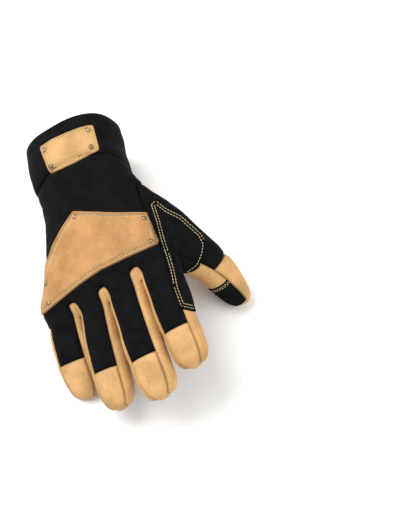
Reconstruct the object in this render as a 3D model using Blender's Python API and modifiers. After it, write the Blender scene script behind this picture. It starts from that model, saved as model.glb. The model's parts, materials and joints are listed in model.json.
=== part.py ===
"""Insulated leather work glove for the right hand, lying palm down with its fingers towards -Y.

The skin is one loft of rings that follow the tables below. It is divided into the sewn panels,
and each panel becomes its own closed leather or fabric solid.
"""

import math
from collections import namedtuple

import bmesh
import bpy
from mathutils import Matrix, Vector
from mathutils.bvhtree import BVHTree

MM = 0.001

# Fingers
FINGER_LENGTH = 92 * MM
FINGER_WIDTH = 32.5 * MM
FINGER_DEPTH = 27 * MM
CAP_LENGTH = 40 * MM
WEB_GAP = 1.6 * MM
# How far the row of fingers stands towards the little finger's side
FINGERS_ASIDE = 1.3 * MM

# Hand and cuff
HAND_DEPTH = 37 * MM
HAND_REACH = 126 * MM
CUFF_BREADTH = 87 * MM
CUFF_DEPTH = 66 * MM
CUFF_REACH = 45 * MM

# The cuff seam arches towards the mouth on the back and ends the palm leather in a tongue
SEAM_ARCH = 9 * MM
PALM_TONGUE = 12 * MM
TONGUE_SIDE_SHARE = 0.5

# Thumb
THUMB_WIDTH = 33 * MM
THUMB_DEPTH = 29 * MM

# How it lies: rolled onto its little finger side, with the cuff a little lower
ROLL = 30
PITCH = 2.2
REST_HEIGHT = 45 * MM

# Walls and clearances
FABRIC_WALL = 2.4 * MM
LEATHER_WALL = 1.6 * MM
PALM_WALL = 1.8 * MM
SEAM_GAP = 0.4 * MM
# How far the inner edge of a wall stands back from its outer edge, and the limits of that in corners
RIM_SLOPE = 0.6 * MM
STRAIGHTEST_CORNER = 0.2
SHARPEST_CORNER = 0.4

# A finger, as shares of the finger sizes above. Web, shift and lift are in shares of its width.
Finger = namedtuple("Finger", "name length width depth cap web lift splay root_curl curl")
FINGERS = (
    Finger("little", 0.69, 1.00, 0.88, 0.78, 0.10, -0.10, -3, 0, 32),
    Finger("ring", 0.90, 0.90, 0.94, 0.80, -0.04, 0.00, -3, 0, 18),
    Finger("middle", 1.00, 0.96, 1.00, 0.83, 0.06, 0.04, 2, 0, 18),
    Finger("index", 0.92, 0.94, 0.98, 0.79, 0.26, -0.02, 2.7, 0, 20),
)

# Rings of the part of a finger before its cap: share of that part, of the width, of the depth
FINGER_ROWS = (
    (0.00, 1.00, 1.04),
    (0.14, 1.01, 1.02),
    (0.34, 1.03, 1.00),
    (0.56, 1.04, 1.00),
    (0.78, 1.04, 0.99),
    (1.00, 1.03, 0.98),
)
# Rings of a cap: share of the cap's length, of the width, of the depth
CAP_ROWS = (
    (0.30, 1.02, 0.96),
    (0.58, 0.98, 0.90),
    (0.80, 0.87, 0.80),
    (0.94, 0.66, 0.60),
    (1.00, 0.42, 0.38),
)

# Rings of the hand from the webs to the cuff seam: share of the reach, of the breadth, of the
# depth, and of the breadth that the middle moves towards the thumb
HandRow = namedtuple("HandRow", "along breadth depth aside")
HAND_ROWS = (
    HandRow(0.041, 1.02, 0.90, -0.01),
    HandRow(0.081, 1.03, 0.96, -0.02),
    HandRow(0.127, 1.02, 1.00, -0.022),
    HandRow(0.181, 1.00, 1.04, -0.018),
    HandRow(0.326, 0.93, 1.13, 0.0),
    HandRow(0.489, 0.846, 1.25, 0.008),
    HandRow(0.642, 0.774, 1.34, 0.003),
    HandRow(0.787, 0.72, 1.42, -0.008),
    HandRow(0.905, 0.69, 1.49, 0.0),
    HandRow(1.00, 0.70, 1.57, -0.024),
)
THUMB_FIRST_ROW = 3
THUMB_LAST_ROW = 7
# The first rings of the hand: how much they keep of the fingers' section and of the webs' places
WEB_ROWS = (
    (0.62, 1.00),
    (0.30, 0.75),
    (0.08, 0.50),
)
# The webs: how deep the dip between two fingers is, as a share of a finger's depth, how far its
# top and its floor lie back, and the rounded top of each fourchette on the back of the hand
WEB_DEPTH = 0.26
WEB_TOP_SETBACK = 1.0 * MM
WEB_FLOOR_SETBACK = 4.5 * MM
U_TOP_ROW = 1
U_TOP_PINCH = 0.3
U_TOP_RISE = 2.5 * MM

# Rings of the cuff from its seam to the mouth: share of the reach, of its breadth and depth
CUFF_ROWS = (
    HandRow(0.37, 1.00, 0.96, -0.05),
    HandRow(0.58, 1.01, 0.99, -0.05),
    HandRow(0.80, 1.00, 1.00, -0.05),
    HandRow(1.00, 0.98, 0.98, -0.05),
)

# Rings of the thumb: share of the way along its line, of its width and depth, and how far its
# section reaches on as a web towards the index finger, as a share of its width
THUMB_ROWS = (
    (0.44, 1.10, 1.10, 0.45),
    (0.57, 1.02, 1.02, 0.20),
    (0.69, 0.98, 0.98, 0.03),
    (0.80, 0.92, 0.92, 0.00),
    (0.90, 0.78, 0.78, 0.00),
    (0.97, 0.56, 0.56, 0.00),
    (1.00, 0.34, 0.34, 0.00),
)
THUMB_CAP_ROW = 4
# Rings between the hand and the first of those: share of the way, and how far the fold towards
# the index finger and the outer side stand out, as shares of the thumb's width
THUMB_ROOT_ROWS = (
    (0.34, 0.12, 0.20),
    (0.68, 0.16, 0.16),
)
FOLD_WAY = Vector((0.95, -0.30, -0.10))
OUTER_WAY = Vector((0.75, 0.45, 0.10))
NEXT_SHARE = 0.5
ROOT_SMOOTHING = 5
# The thumb's line bends between three points of the hand's own frame
THUMB_LINE = (
    Vector((36 * MM, 84 * MM, -8 * MM)),
    Vector((70 * MM, 40 * MM, -30 * MM)),
    Vector((76.7 * MM, 1 * MM, -90.9 * MM)),
)
THUMB_BACK_AT_ROOT = Vector((0.55, 0.0, 0.85))
THUMB_BACK_AT_TIP = Vector((0.95, 0.1, 0.2))

# The side from which the sewn-on pieces are seen and their patterns are drawn
VIEW_TURN = -12.6
VIEW_RISE = 60 + PITCH
CUTTER_REACH = 200 * MM
OVERLAY_GAP = 0.35 * MM

# Corners as shares of the span from the middle that across and up place on the glove, with the
# radius of the corner in millimetres. Behind is how far the pattern cuts past the middle of the webs.
Pattern = namedtuple("Pattern", "name across up behind span thickness corners")
SHIELD = Pattern(
    "knuckle_shield",
    across=-20.0 * MM,
    up=36.0 * MM,
    behind=60 * MM,
    span=100 * MM,
    thickness=1.6 * MM,
    corners=(
        (-0.170, 0.428, 2),
        (0.171, 0.412, 0),
        (0.488, 0.406, 2),
        (0.526, 0.272, 0),
        (0.564, 0.146, 2),
        (0.356, 0.054, 0),
        (0.088, -0.070, 0),
        (-0.092, -0.192, 0),
        (-0.258, -0.323, 0),
        (-0.396, -0.435, 0),
        (-0.520, -0.500, 0),
        (-0.580, -0.220, 0),
        (-0.460, -0.120, 0),
        (-0.400, -0.020, 0),
        (-0.345, 0.134, 0),
        (-0.274, 0.268, 0),
    ),
)
BADGE = Pattern(
    "cuff_badge",
    across=-42.0 * MM,
    up=HAND_REACH + 7.0 * MM,
    behind=90 * MM,
    span=50 * MM,
    thickness=1.4 * MM,
    corners=(
        (-0.540, 0.044, 3),
        (-0.310, 0.180, 0),
        (-0.066, 0.280, 0),
        (0.180, 0.370, 0),
        (0.400, 0.424, 3),
        (0.536, -0.036, 3),
        (0.320, -0.140, 0),
        (0.110, -0.254, 0),
        (-0.120, -0.350, 0),
        (-0.336, -0.432, 3),
    ),
)
SADDLE = Pattern(
    "saddle_patch",
    across=52.0 * MM,
    up=44.0 * MM,
    behind=33 * MM,
    span=90 * MM,
    thickness=1.2 * MM,
    corners=(
        (-0.211, 0.517, 2),
        (-0.278, 0.450, 2),
        (-0.219, 0.278, 0),
        (-0.171, 0.100, 0),
        (-0.122, -0.039, 0),
        (-0.082, -0.163, 0),
        (-0.044, -0.336, 0),
        (0.020, -0.500, 2),
        (0.240, -0.555, 2),
        (0.186, -0.370, 0),
        (0.094, -0.244, 3),
        (0.220, -0.152, 4),
        (0.272, -0.033, 3),
        (0.289, 0.082, 4),
        (0.239, 0.182, 2),
        (0.140, 0.271, 0),
        (0.044, 0.357, 0),
        (-0.089, 0.422, 0),
    ),
)

# Rivets, as shares of the patch's span across and up from its middle
SHIELD_RIVETS = ((-0.156, 0.380), (0.442, 0.362), (0.510, 0.170), (-0.365, -0.355), (-0.400, -0.190))
BADGE_RIVETS = ((-0.444, -0.012), (0.328, 0.328), (0.390, 0.024), (-0.320, -0.308))
RIVET_RADIUS = 2.4 * MM
RIVET_HEIGHT = 1.3 * MM
RIVET_STEPS = 10
# Share of the rivet's radius and of its height
RIVET_PROFILE = (
    (0.00, 0.00),
    (1.00, 0.00),
    (1.00, 0.35),
    (0.82, 0.80),
    (0.55, 0.85),
    (0.38, 0.60),
    (0.22, 1.00),
    (0.00, 1.00),
)

# Grip patches on the fingertips
PATCH_THICKNESS = 0.9 * MM
PATCH_SHARE = 0.76
PATCH_LENGTH_SHARE = 0.70
PATCH_START = 4 * MM
TIP_RIM = 3.5 * MM
PATCH_HEM_RADIUS = 1.5 * MM
PATCH_TIP_ROUNDING = 0.9
THUMB_PATCH_TURN = -30

# Pull loop and size label on the palm side of the cuff. Each step: millimetres past the mouth and
# out from the cuff's outer surface, to the middle of the strap's thickness
LOOP_WIDTH = 19 * MM
LOOP_THICKNESS = 1.6 * MM
LOOP_ASIDE = 4 * MM
LABEL_WIDTH = 15 * MM
LABEL_THICKNESS = 0.6 * MM
MOUTH_INSET = 0.5 * MM
Step = namedtuple("Step", "along out")
LOOP_PATH = (
    Step(-48, 1.3),
    Step(-36, 1.3),
    Step(-24, 1.3),
    Step(-12, 1.3),
    Step(-2, 1.4),
    Step(4, 2.2),
    Step(10, 2.6),
    Step(13.5, 1.2),
    Step(14.5, -1.2),
    Step(13.5, -3.6),
    Step(10, -5.0),
    Step(4, -4.6),
    Step(-2, -3.9),
    Step(-13, -3.8),
)
LABEL_PATH = (
    Step(-43, 2.8),
    Step(-36, 2.8),
    Step(-24, 2.8),
    Step(-14, 2.8),
)

# Sections: how square they are, how far the upper face reaches out before the side begins, where
# the side's points lie as a share of the height there, and the columns of a finger's upper face
FULLNESS = 2.4
FINGER_FULLNESS = 2.9
CORNER = 0.92
FINGER_CORNER = 0.80
SIDE_LEVEL = 1 / 3
COLUMNS = (-1, -0.5, 0, 0.5, 1)
TIP_BULGE = 1.2 * MM
LINE_STEP = 0.01
ARC_STEPS = 3
FACING_UP = 0.1

GLOVE = "insulated_leather_glove"
HOLDER = GLOVE + "_place"
CUTTERS = "cutters"
TAN = (0.60, 0.37, 0.17)
LIGHT_TAN = (0.72, 0.47, 0.22)
BLACK = (0.012, 0.012, 0.013)
MUSTARD = (0.70, 0.44, 0.14)
BRASS = (0.35, 0.24, 0.12)
FABRIC_PANELS = ("back_panel", "cuff", "thumb_back")


# The end of a finger or of the thumb: where it is, its three directions and its sizes
TipFrame = namedtuple("TipFrame", "place heading back across width cap")


def height_at(x, half_width, half_depth, fullness):
    share = min(1.0, abs(x) / half_width)
    return half_depth * (1 - share**fullness) ** (1 / fullness)


def section(xs, half_width, half_depth, fullness):
    """Points (x, z) of one ring: top left to right, right side, bottom right to left, left side."""
    top = [(x, height_at(x, half_width, half_depth, fullness)) for x in xs]
    bottom = [(x, -z) for x, z in reversed(top)]
    level = top[-1][1] * SIDE_LEVEL
    reach = height_at(level, half_depth, half_width, fullness)
    right = [(reach, level), (reach, -level)]
    left = [(-reach, -level), (-reach, level)]
    return top + right + bottom + left


def finger_centres():
    """The middle of each finger across the hand, and the breadth of all four."""
    breadth = sum(f.width for f in FINGERS) * FINGER_WIDTH + WEB_GAP * (len(FINGERS) - 1)
    centres = []
    edge = -breadth / 2 - FINGERS_ASIDE
    for finger in FINGERS:
        width = finger.width * FINGER_WIDTH
        centres.append(edge + width / 2)
        edge += width + WEB_GAP
    return centres, breadth


def finger_rings(finger, centre):
    """Rings of 14 points from the web to the tip, and the direction at the tip."""
    width = finger.width * FINGER_WIDTH
    depth = finger.depth * FINGER_DEPTH
    length = finger.length * FINGER_LENGTH
    cap = finger.cap * CAP_LENGTH
    splay = math.radians(finger.splay)
    forward = Vector((math.sin(splay), -math.cos(splay), 0))
    up = Vector((0, 0, 1))
    rows = [(share * (length - cap), w, d) for share, w, d in FINGER_ROWS]
    rows += [(length - cap + share * cap, w, d) for share, w, d in CAP_ROWS]
    place = Vector((centre, finger.web * FINGER_WIDTH, finger.lift * FINGER_WIDTH))
    done = 0.0
    rings = []
    for distance, wide, deep in rows:
        turn = math.radians(finger.root_curl + finger.curl * distance / length)
        heading = forward * math.cos(turn) - up * math.sin(turn)
        lifted = forward * math.sin(turn) + up * math.cos(turn)
        place = place + heading * (distance - done)
        done = distance
        across = lifted.cross(heading)
        half = width * wide / 2
        xs = [share * FINGER_CORNER * half for share in COLUMNS]
        outline = section(xs, half, depth * deep / 2, FINGER_FULLNESS)
        ring = [place + across * x + lifted * z for x, z in outline]
        rings.append(ring)
    return rings, TipFrame(place, heading, lifted, across, width, cap)


def bezier(points, t):
    a, b, c = points
    return a * (1 - t) ** 2 + b * 2 * t * (1 - t) + c * t**2


def thumb_rings():
    rings = []
    for share, wide, deep, web in THUMB_ROWS:
        here = bezier(THUMB_LINE, share)
        behind, ahead = bezier(THUMB_LINE, share - LINE_STEP), bezier(THUMB_LINE, share + LINE_STEP)
        heading = (ahead - behind).normalized()
        back = THUMB_BACK_AT_ROOT.lerp(THUMB_BACK_AT_TIP, share)
        back = (back - heading * back.dot(heading)).normalized()
        across = heading.cross(back)
        half = THUMB_WIDTH * (wide + web) / 2
        here = here + across * THUMB_WIDTH * web / 2
        xs = [s * FINGER_CORNER * half for s in COLUMNS]
        outline = section(xs, half, THUMB_DEPTH * deep / 2, FULLNESS)
        ring = [here + across * x + back * z for x, z in outline]
        rings.append(ring)
    return rings, TipFrame(here, heading, back, across, THUMB_WIDTH, CAP_LENGTH)


class Skin:
    """The glove's outer surface as one mesh, each face marked with its panel."""

    def __init__(self):
        self.mesh = bmesh.new()
        self.panel = self.mesh.faces.layers.int.new("panel")
        self.zone = self.mesh.faces.layers.int.new("zone")
        self.names = []
        self.zones = {}
        self.frames = {}

    def number(self, name):
        if name not in self.names:
            self.names.append(name)
        return self.names.index(name)

    def ring(self, points):
        return [self.mesh.verts.new(p) for p in points]

    def face(self, corners, name, zone=None):
        made = self.mesh.faces.new(corners)
        made[self.panel] = self.number(name)
        if zone:
            made[self.zone] = self.zones.setdefault(zone, len(self.zones) + 1)

    def tube(self, near, far, name_of, zone_of=lambda i: None):
        """Quads between two rings. name_of(i) is the panel of side i, or None to leave it open."""
        count = len(near)
        for i in range(count):
            name = name_of(i)
            if name:
                j = (i + 1) % count
                self.face((near[i], near[j], far[j], far[i]), name, zone_of(i))

    def tip(self, ring, heading, bulge, name, zone):
        """Closes a ring of 14 with a grid of 4 by 3 quads."""
        left = [ring[13], ring[12]]
        right = [ring[5], ring[6]]
        rows = [ring[0:5]]
        for row in range(2):
            share = (row + 1) / 3
            line = [left[row]]
            for column in (1, 2, 3):
                top = ring[column].co
                bottom = ring[11 - column].co
                line.append(self.mesh.verts.new(top.lerp(bottom, share) + heading * bulge))
            line.append(right[row])
            rows.append(line)
        rows.append(list(reversed(ring[7:12])))
        for row in range(3):
            for column in range(4):
                self.face(
                    (
                        rows[row][column],
                        rows[row][column + 1],
                        rows[row + 1][column + 1],
                        rows[row + 1][column],
                    ),
                    name,
                    zone if row > 0 else None,
                )


def finger_zone(name, row, seam):
    """The lower side of the cap, where its grip patch lies, and the side of the index finger."""

    def zone_of(i):
        if row >= seam - 1 and 6 <= i <= 11:
            return name
        if name == "index" and row < 3 and 3 <= i < 6:
            return "saddle"
        return None

    return zone_of


FOURCHETTES = ("ring_little_fourchette", "middle_ring_fourchette", "index_middle_fourchette")
TOP_GAPS = ((4, 5), (10, 11), (16, 17))


def hand_panel(row):
    """The panel of side i of the hand's ring, between this row and the next one away from the webs."""

    def name_of(i):
        if i < 22:
            for gap, sides in enumerate(TOP_GAPS):
                if i in sides and row <= U_TOP_ROW:
                    return FOURCHETTES[gap]
            return "back_panel"
        if i < 25:
            if THUMB_FIRST_ROW < row <= THUMB_LAST_ROW:
                return None
            return "back_panel" if i == 22 or (i == 23 and row > THUMB_LAST_ROW) else "palm_panel"
        return "back_panel" if i == 49 else "palm_panel"

    return name_of


def hand_zone(row):
    """The thumb side of the hand, which the saddle patch covers on to the thumb."""
    lowest = 24 if row < THUMB_FIRST_ROW else 23

    def zone_of(i):
        return "saddle" if row < len(HAND_ROWS) and 20 <= i < lowest else None

    return zone_of


def finger_panel(index, capped):
    name = FINGERS[index].name

    def name_of(i):
        if i < 4:
            return name + "_cap" if capped else "back_panel"
        if i < 7:
            return FOURCHETTES[index] if index < 3 else "palm_panel"
        if i < 11:
            return "palm_panel"
        return FOURCHETTES[index - 1] if index > 0 else "palm_panel"

    return name_of


def thumb_panel(capped):
    def name_of(i):
        if i < 4 or i == 13:
            return "thumb_cap" if capped else "thumb_back"
        return "thumb_palm"

    return name_of


def thumb_zone(row):
    def zone_of(i):
        if row > THUMB_CAP_ROW - 1 and 4 <= i <= 10:
            return "thumb"
        return "saddle" if row < THUMB_CAP_ROW and (i < 4 or i == 13) else None

    return zone_of


def build_skin():
    skin = Skin()
    centres, breadth = finger_centres()
    roots = []
    for index, finger in enumerate(FINGERS):
        points, frame = finger_rings(finger, centres[index])
        heading = frame.heading
        rings = [skin.ring(p) for p in points]
        seam = len(FINGER_ROWS) - 1
        for row in range(len(rings) - 1):
            zone_of = finger_zone(finger.name, row, seam)
            skin.tube(rings[row + 1], rings[row], finger_panel(index, row >= seam), zone_of)
        skin.tip(rings[-1], heading, TIP_BULGE, finger.name + "_cap", finger.name)
        skin.frames[finger.name] = frame
        roots.append(rings[0])

    # The web row: the fingers' first rings with a middle line between neighbours
    tops = []
    bottoms = []
    for index in range(4):
        tops += roots[index][0:5]
        if index < 3:
            a, b = roots[index], roots[index + 1]
            middles = []
            pairs = ((a[4], b[0]), (a[5], b[13]), (a[6], b[12]), (a[7], b[11]))
            for level, (p, q) in enumerate(pairs):
                middle = (p.co + q.co) / 2
                if level == 0:
                    middle.z -= WEB_DEPTH * FINGER_DEPTH
                    middle.y += WEB_TOP_SETBACK
                elif level < 3:
                    middle.y += WEB_FLOOR_SETBACK
                middles.append(skin.mesh.verts.new(middle))
            for level in range(3):
                p, q = pairs[level]
                below_p, below_q = pairs[level + 1]
                m, n = middles[level], middles[level + 1]
                skin.face((p, below_p, n, m), FOURCHETTES[index])
                skin.face((m, n, below_q, q), FOURCHETTES[index])
            tops.append(middles[0])
            bottoms.append(middles[3])
    web_row = list(tops)
    web_row += roots[3][5:7]
    for index in (3, 2, 1, 0):
        web_row += roots[index][7:12]
        if index > 0:
            web_row.append(bottoms[index - 1])
    web_row += roots[0][12:14]

    # Lines along the hand keep the shares of the breadth that they have at the webs
    across = [v.co.x for v in web_row[0:23]]
    middle, reach = (across[0] + across[-1]) / 2, (across[-1] - across[0]) / 2
    shares = [(x - middle) / reach for x in across]
    web_points = [v.co.copy() for v in web_row]

    rings = [web_row]
    for number, row in enumerate(HAND_ROWS + CUFF_ROWS):
        if number < len(HAND_ROWS):
            y = row.along * HAND_REACH
            half, deep = row.breadth * breadth / 2, row.depth * HAND_DEPTH / 2
        else:
            y = HAND_REACH + row.along * CUFF_REACH
            half, deep = row.breadth * CUFF_BREADTH / 2, row.depth * CUFF_DEPTH / 2
        aside = row.aside * breadth
        xs = [s * CORNER * half for s in shares]
        points = [Vector((x + aside, y, z)) for x, z in section(xs, half, deep, FULLNESS)]
        if number < len(WEB_ROWS):
            section_kept, place_kept = WEB_ROWS[number]
            for point, web in zip(points, web_points):
                point.x += (web.x - point.x) * section_kept
                point.z += (web.z - point.z) * section_kept
                point.y += web.y * place_kept
        if number == len(HAND_ROWS) - 1:
            for i, point in enumerate(points):
                share = (point.x - aside) / half
                if i < 23:
                    point.y += SEAM_ARCH * (1 - share**2)
                else:
                    point.y -= PALM_TONGUE * share**2 * (TONGUE_SIDE_SHARE if i in (23, 49) else 1)
        if number == U_TOP_ROW:
            for left, right in TOP_GAPS:
                middle = points[right]
                points[left] = points[left].lerp(middle, U_TOP_PINCH)
                points[right + 1] = points[right + 1].lerp(middle, U_TOP_PINCH)
                points[right] = middle + Vector((0, U_TOP_RISE, 0))
        ring = skin.ring(points)
        in_hand = number < len(HAND_ROWS)
        name_of = hand_panel(number) if in_hand else lambda i: "cuff"
        skin.tube(rings[-1], ring, name_of, hand_zone(number))
        rings.append(ring)

    first, last = THUMB_FIRST_ROW + 1, THUMB_LAST_ROW + 1
    hole = [rings[row][22] for row in range(last, first - 1, -1)]
    hole += [rings[first][23], rings[first][24]]
    hole += [rings[row][25] for row in range(first, last + 1)]
    hole += [rings[last][24], rings[last][23]]
    points, frame = thumb_rings()
    root = []
    for share, fold, outer in THUMB_ROOT_ROWS:
        around = [vert.co.lerp(point, share) for vert, point in zip(hole, points[0])]
        for i in (4, 5, 6, 7):
            around[i] += FOLD_WAY * THUMB_WIDTH * fold
        for i in (3, 8):
            around[i] += FOLD_WAY * THUMB_WIDTH * fold * NEXT_SHARE
        for i in (11, 12, 13, 0):
            around[i] += OUTER_WAY * THUMB_WIDTH * outer
        for i in (1, 10):
            around[i] += OUTER_WAY * THUMB_WIDTH * outer * NEXT_SHARE
        root.append(around)
    points = root + points
    ring = hole
    for row, around in enumerate(points):
        further = skin.ring(around)
        skin.tube(further, ring, thumb_panel(row > THUMB_CAP_ROW), thumb_zone(row))
        ring = further
    skin.tip(ring, frame.heading, TIP_BULGE, "thumb_cap", "thumb")
    skin.frames["thumb"] = frame
    near_thumb = set(hole)
    near_thumb |= {v for v in skin.mesh.verts if any(e.other_vert(v) in set(hole) for e in v.link_edges)}
    for _ in range(ROOT_SMOOTHING):
        bmesh.ops.smooth_vert(
            skin.mesh, verts=list(near_thumb), factor=0.5, use_axis_x=True, use_axis_y=True, use_axis_z=True
        )
    loose = [vert for vert in skin.mesh.verts if not vert.link_faces]
    bmesh.ops.delete(skin.mesh, geom=loose, context="VERTS")
    bmesh.ops.recalc_face_normals(skin.mesh, faces=skin.mesh.faces)
    return skin


def pose():
    return (
        Matrix.Translation((0, 0, REST_HEIGHT))
        @ Matrix.Rotation(math.radians(-PITCH), 4, "X")
        @ Matrix.Rotation(math.radians(-ROLL), 4, "Y")
    )


def seen_axes():
    """The directions right, up and towards the viewer of the side from which patterns are cut."""
    turn, rise = math.radians(VIEW_TURN), math.radians(VIEW_RISE)
    near = Vector((math.sin(turn) * math.cos(rise), -math.cos(turn) * math.cos(rise), math.sin(rise)))
    right = Vector((math.cos(turn), math.sin(turn), 0))
    return right, near.cross(right), near


def place_on_view(across, up):
    right, above, _ = seen_axes()
    return Vector((0, 0, REST_HEIGHT)) + right * across + above * up


def mark_normals(mesh):
    mesh.verts.layers.float_vector.new("inward")
    layer = mesh.verts.layers.float_vector.new("skin_normal")
    mesh.normal_update()
    for vert in mesh.verts:
        vert[layer] = vert.normal


def keep_faces(mesh, wanted):
    """A copy of the mesh with only the faces that wanted(face) accepts."""
    mesh.faces.index_update()
    unwanted = {face.index for face in mesh.faces if not wanted(face)}
    part = mesh.copy()
    others = [face for face in part.faces if face.index in unwanted]
    bmesh.ops.delete(part, geom=others, context="FACES")
    return part


def draw_in(part, amount):
    """Moves the part's free edges inwards along its surface, so that neighbours keep a gap."""
    part.normal_update()
    inward = {}
    for edge in part.edges:
        if len(edge.link_faces) != 1:
            continue
        face = edge.link_faces[0]
        a, b = edge.verts
        way = face.normal.cross((b.co - a.co).normalized())
        if way.dot(face.calc_center_median() - a.co) < 0:
            way.negate()
        for vert in (a, b):
            inward.setdefault(vert, []).append(way)
    layer = part.verts.layers.float_vector["inward"]
    for vert, ways in inward.items():
        middle = sum(ways, Vector())
        if middle.length > STRAIGHTEST_CORNER:
            middle.normalize()
            vert[layer] = middle / max(SHARPEST_CORNER, middle.dot(ways[0]))
            vert.co += vert[layer] * amount


def thicken(part, depth):
    """Makes the open surface a closed solid, depth along the skin's normals."""
    layer = part.verts.layers.float_vector["skin_normal"]
    inward = part.verts.layers.float_vector["inward"]
    made = bmesh.ops.extrude_face_region(part, geom=part.faces[:] + part.edges[:], use_keep_orig=True)
    for item in made["geom"]:
        if isinstance(item, bmesh.types.BMVert):
            item.co += item[layer] * depth + item[inward] * RIM_SLOPE
    bmesh.ops.recalc_face_normals(part, faces=part.faces[:])


def add_object(part, name, colour, roughness=0.8, metallic=0.0):
    mesh = bpy.data.meshes.new(name)
    part.to_mesh(mesh)
    part.free()
    obj = bpy.data.objects.new(name, mesh)
    bpy.data.collections[GLOVE].objects.link(obj)
    obj.parent = bpy.data.objects[HOLDER]
    material = bpy.data.materials.new(name)
    material.use_nodes = True
    shader = material.node_tree.nodes["Principled BSDF"]
    shader.inputs["Base Color"].default_value = (*colour, 1)
    shader.inputs["Roughness"].default_value = roughness
    shader.inputs["Metallic"].default_value = metallic
    material.diffuse_color = (*colour, 1)
    mesh.materials.append(material)
    return obj


def rounded(corners):
    """Outline points: each corner (across, up, radius) becomes a short arc."""
    points = []
    count = len(corners)
    for i in range(count):
        across, up, radius = corners[i]
        here = Vector((across, up))
        if radius == 0:
            points.append(here)
            continue
        before = (Vector(corners[i - 1][:2]) - here).normalized()
        after = (Vector(corners[(i + 1) % count][:2]) - here).normalized()
        half = before.angle(after) / 2
        reach = radius / math.tan(half)
        start, end = here + before * reach, here + after * reach
        for step in range(ARC_STEPS + 1):
            t = step / ARC_STEPS
            points.append(start * (1 - t) ** 2 + here * 2 * t * (1 - t) + end * t**2)
    return points


def add_cutter(name, outline, place, across, up, along, near, far):
    """A prism of the outline in the plane of across and up, from near to far along its third direction."""
    prism = bmesh.new()
    low = [prism.verts.new(place + across * x + up * y + along * near) for x, y in outline]
    base = prism.faces.new(low)
    made = bmesh.ops.extrude_face_region(prism, geom=[base], use_keep_orig=True)
    for item in made["geom"]:
        if isinstance(item, bmesh.types.BMVert):
            item.co += along * (far - near)
    bmesh.ops.recalc_face_normals(prism, faces=prism.faces[:])
    mesh = bpy.data.meshes.new(name)
    prism.to_mesh(mesh)
    prism.free()
    obj = bpy.data.objects.new(name, mesh)
    obj.hide_render = True
    obj.display_type = "WIRE"
    bpy.data.collections[CUTTERS].objects.link(obj)
    obj.parent = bpy.data.objects[HOLDER]
    return obj


def cut_to(obj, cutter):
    cut = obj.modifiers.new("outline", "BOOLEAN")
    cut.operation = "INTERSECT"
    cut.solver = "EXACT"
    cut.use_self = obj.name == "saddle_patch"
    cut.object = cutter


def layer_on(mesh, wanted, lift, thickness):
    """A closed layer that lies on the chosen faces of the skin."""
    part = keep_faces(mesh, wanted)
    layer = part.verts.layers.float_vector["skin_normal"]
    for vert in part.verts:
        vert.co += vert[layer] * lift
    thicken(part, thickness)
    return part


def add_seen_patch(skin, pattern, wanted, colour):
    """A sewn-on piece cut to a pattern that is drawn as the viewer sees it."""
    part = layer_on(skin.mesh, wanted, OVERLAY_GAP, pattern.thickness)
    tree = BVHTree.FromBMesh(part)
    obj = add_object(part, pattern.name, colour)
    right, above, near = seen_axes()
    corners = [(x * pattern.span, y * pattern.span, r * MM) for x, y, r in pattern.corners]
    cutter = add_cutter(
        pattern.name + "_cutter",
        rounded(corners),
        place_on_view(pattern.across, pattern.up),
        right,
        above,
        near,
        -pattern.behind,
        CUTTER_REACH,
    )
    cut_to(obj, cutter)
    return tree


def add_tip_patch(skin, name, frame, colour):
    """The black grip patch on the gripping side of a fingertip."""
    zone = skin.zones[name]
    layer = skin.mesh.faces.layers.int["zone"]
    part = layer_on(skin.mesh, lambda face: face[layer] == zone, OVERLAY_GAP, PATCH_THICKNESS)
    obj = add_object(part, name + "_tip_patch", colour)
    half = frame.width * PATCH_SHARE / 2
    length = frame.cap * PATCH_LENGTH_SHARE
    corners = (
        (-half, -length, PATCH_HEM_RADIUS),
        (half, -length, PATCH_HEM_RADIUS),
        (half, 0, half * PATCH_TIP_ROUNDING),
        (-half, 0, half * PATCH_TIP_ROUNDING),
    )
    turn = Matrix.Rotation(math.radians(THUMB_PATCH_TURN if name == "thumb" else 0), 3, frame.heading)
    across, back = turn @ frame.across, turn @ frame.back
    place = frame.place - frame.heading * TIP_RIM
    cutter = add_cutter(
        name + "_tip_patch_cutter", rounded(corners), place, across, frame.heading, -back, PATCH_START, CUTTER_REACH
    )
    cut_to(obj, cutter)


def add_rivet(name, tree, pattern, across, up):
    """A turned rivet head standing on the layer that tree holds, where the viewer sees it."""
    near = seen_axes()[2]
    start = place_on_view(pattern.across + across * pattern.span, pattern.up + up * pattern.span)
    start += near * CUTTER_REACH
    spot, normal, _, _ = tree.ray_cast(start, -near)
    part = bmesh.new()
    profile = [(r * RIVET_RADIUS, h * RIVET_HEIGHT) for r, h in RIVET_PROFILE]
    line = [part.verts.new((r, 0, h)) for r, h in profile]
    edges = [part.edges.new(pair) for pair in zip(line, line[1:])]
    bmesh.ops.spin(
        part, geom=line + edges, angle=math.tau, steps=RIVET_STEPS, axis=(0, 0, 1), use_merge=True
    )
    bmesh.ops.remove_doubles(part, verts=part.verts[:], dist=0.01 * MM)
    bmesh.ops.recalc_face_normals(part, faces=part.faces[:])
    obj = add_object(part, name, BRASS, roughness=0.35, metallic=1.0)
    obj.rotation_euler = normal.to_track_quat("Z", "Y").to_euler()
    obj.location = spot + normal * OVERLAY_GAP


def add_strip(name, lines, thickness, colour):
    """A strip with the given lines of points across it along its middle surface."""
    part = bmesh.new()
    rows = [[part.verts.new(p) for p in line] for line in lines]
    for row, further in zip(rows, rows[1:]):
        for i in range(len(row) - 1):
            part.faces.new((row[i], row[i + 1], further[i + 1], further[i]))
    bmesh.ops.recalc_face_normals(part, faces=part.faces[:])
    obj = add_object(part, name, colour)
    shell = obj.modifiers.new("thickness", "SOLIDIFY")
    shell.thickness = thickness
    shell.offset = 0
    shell.use_even_offset = True


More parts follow.
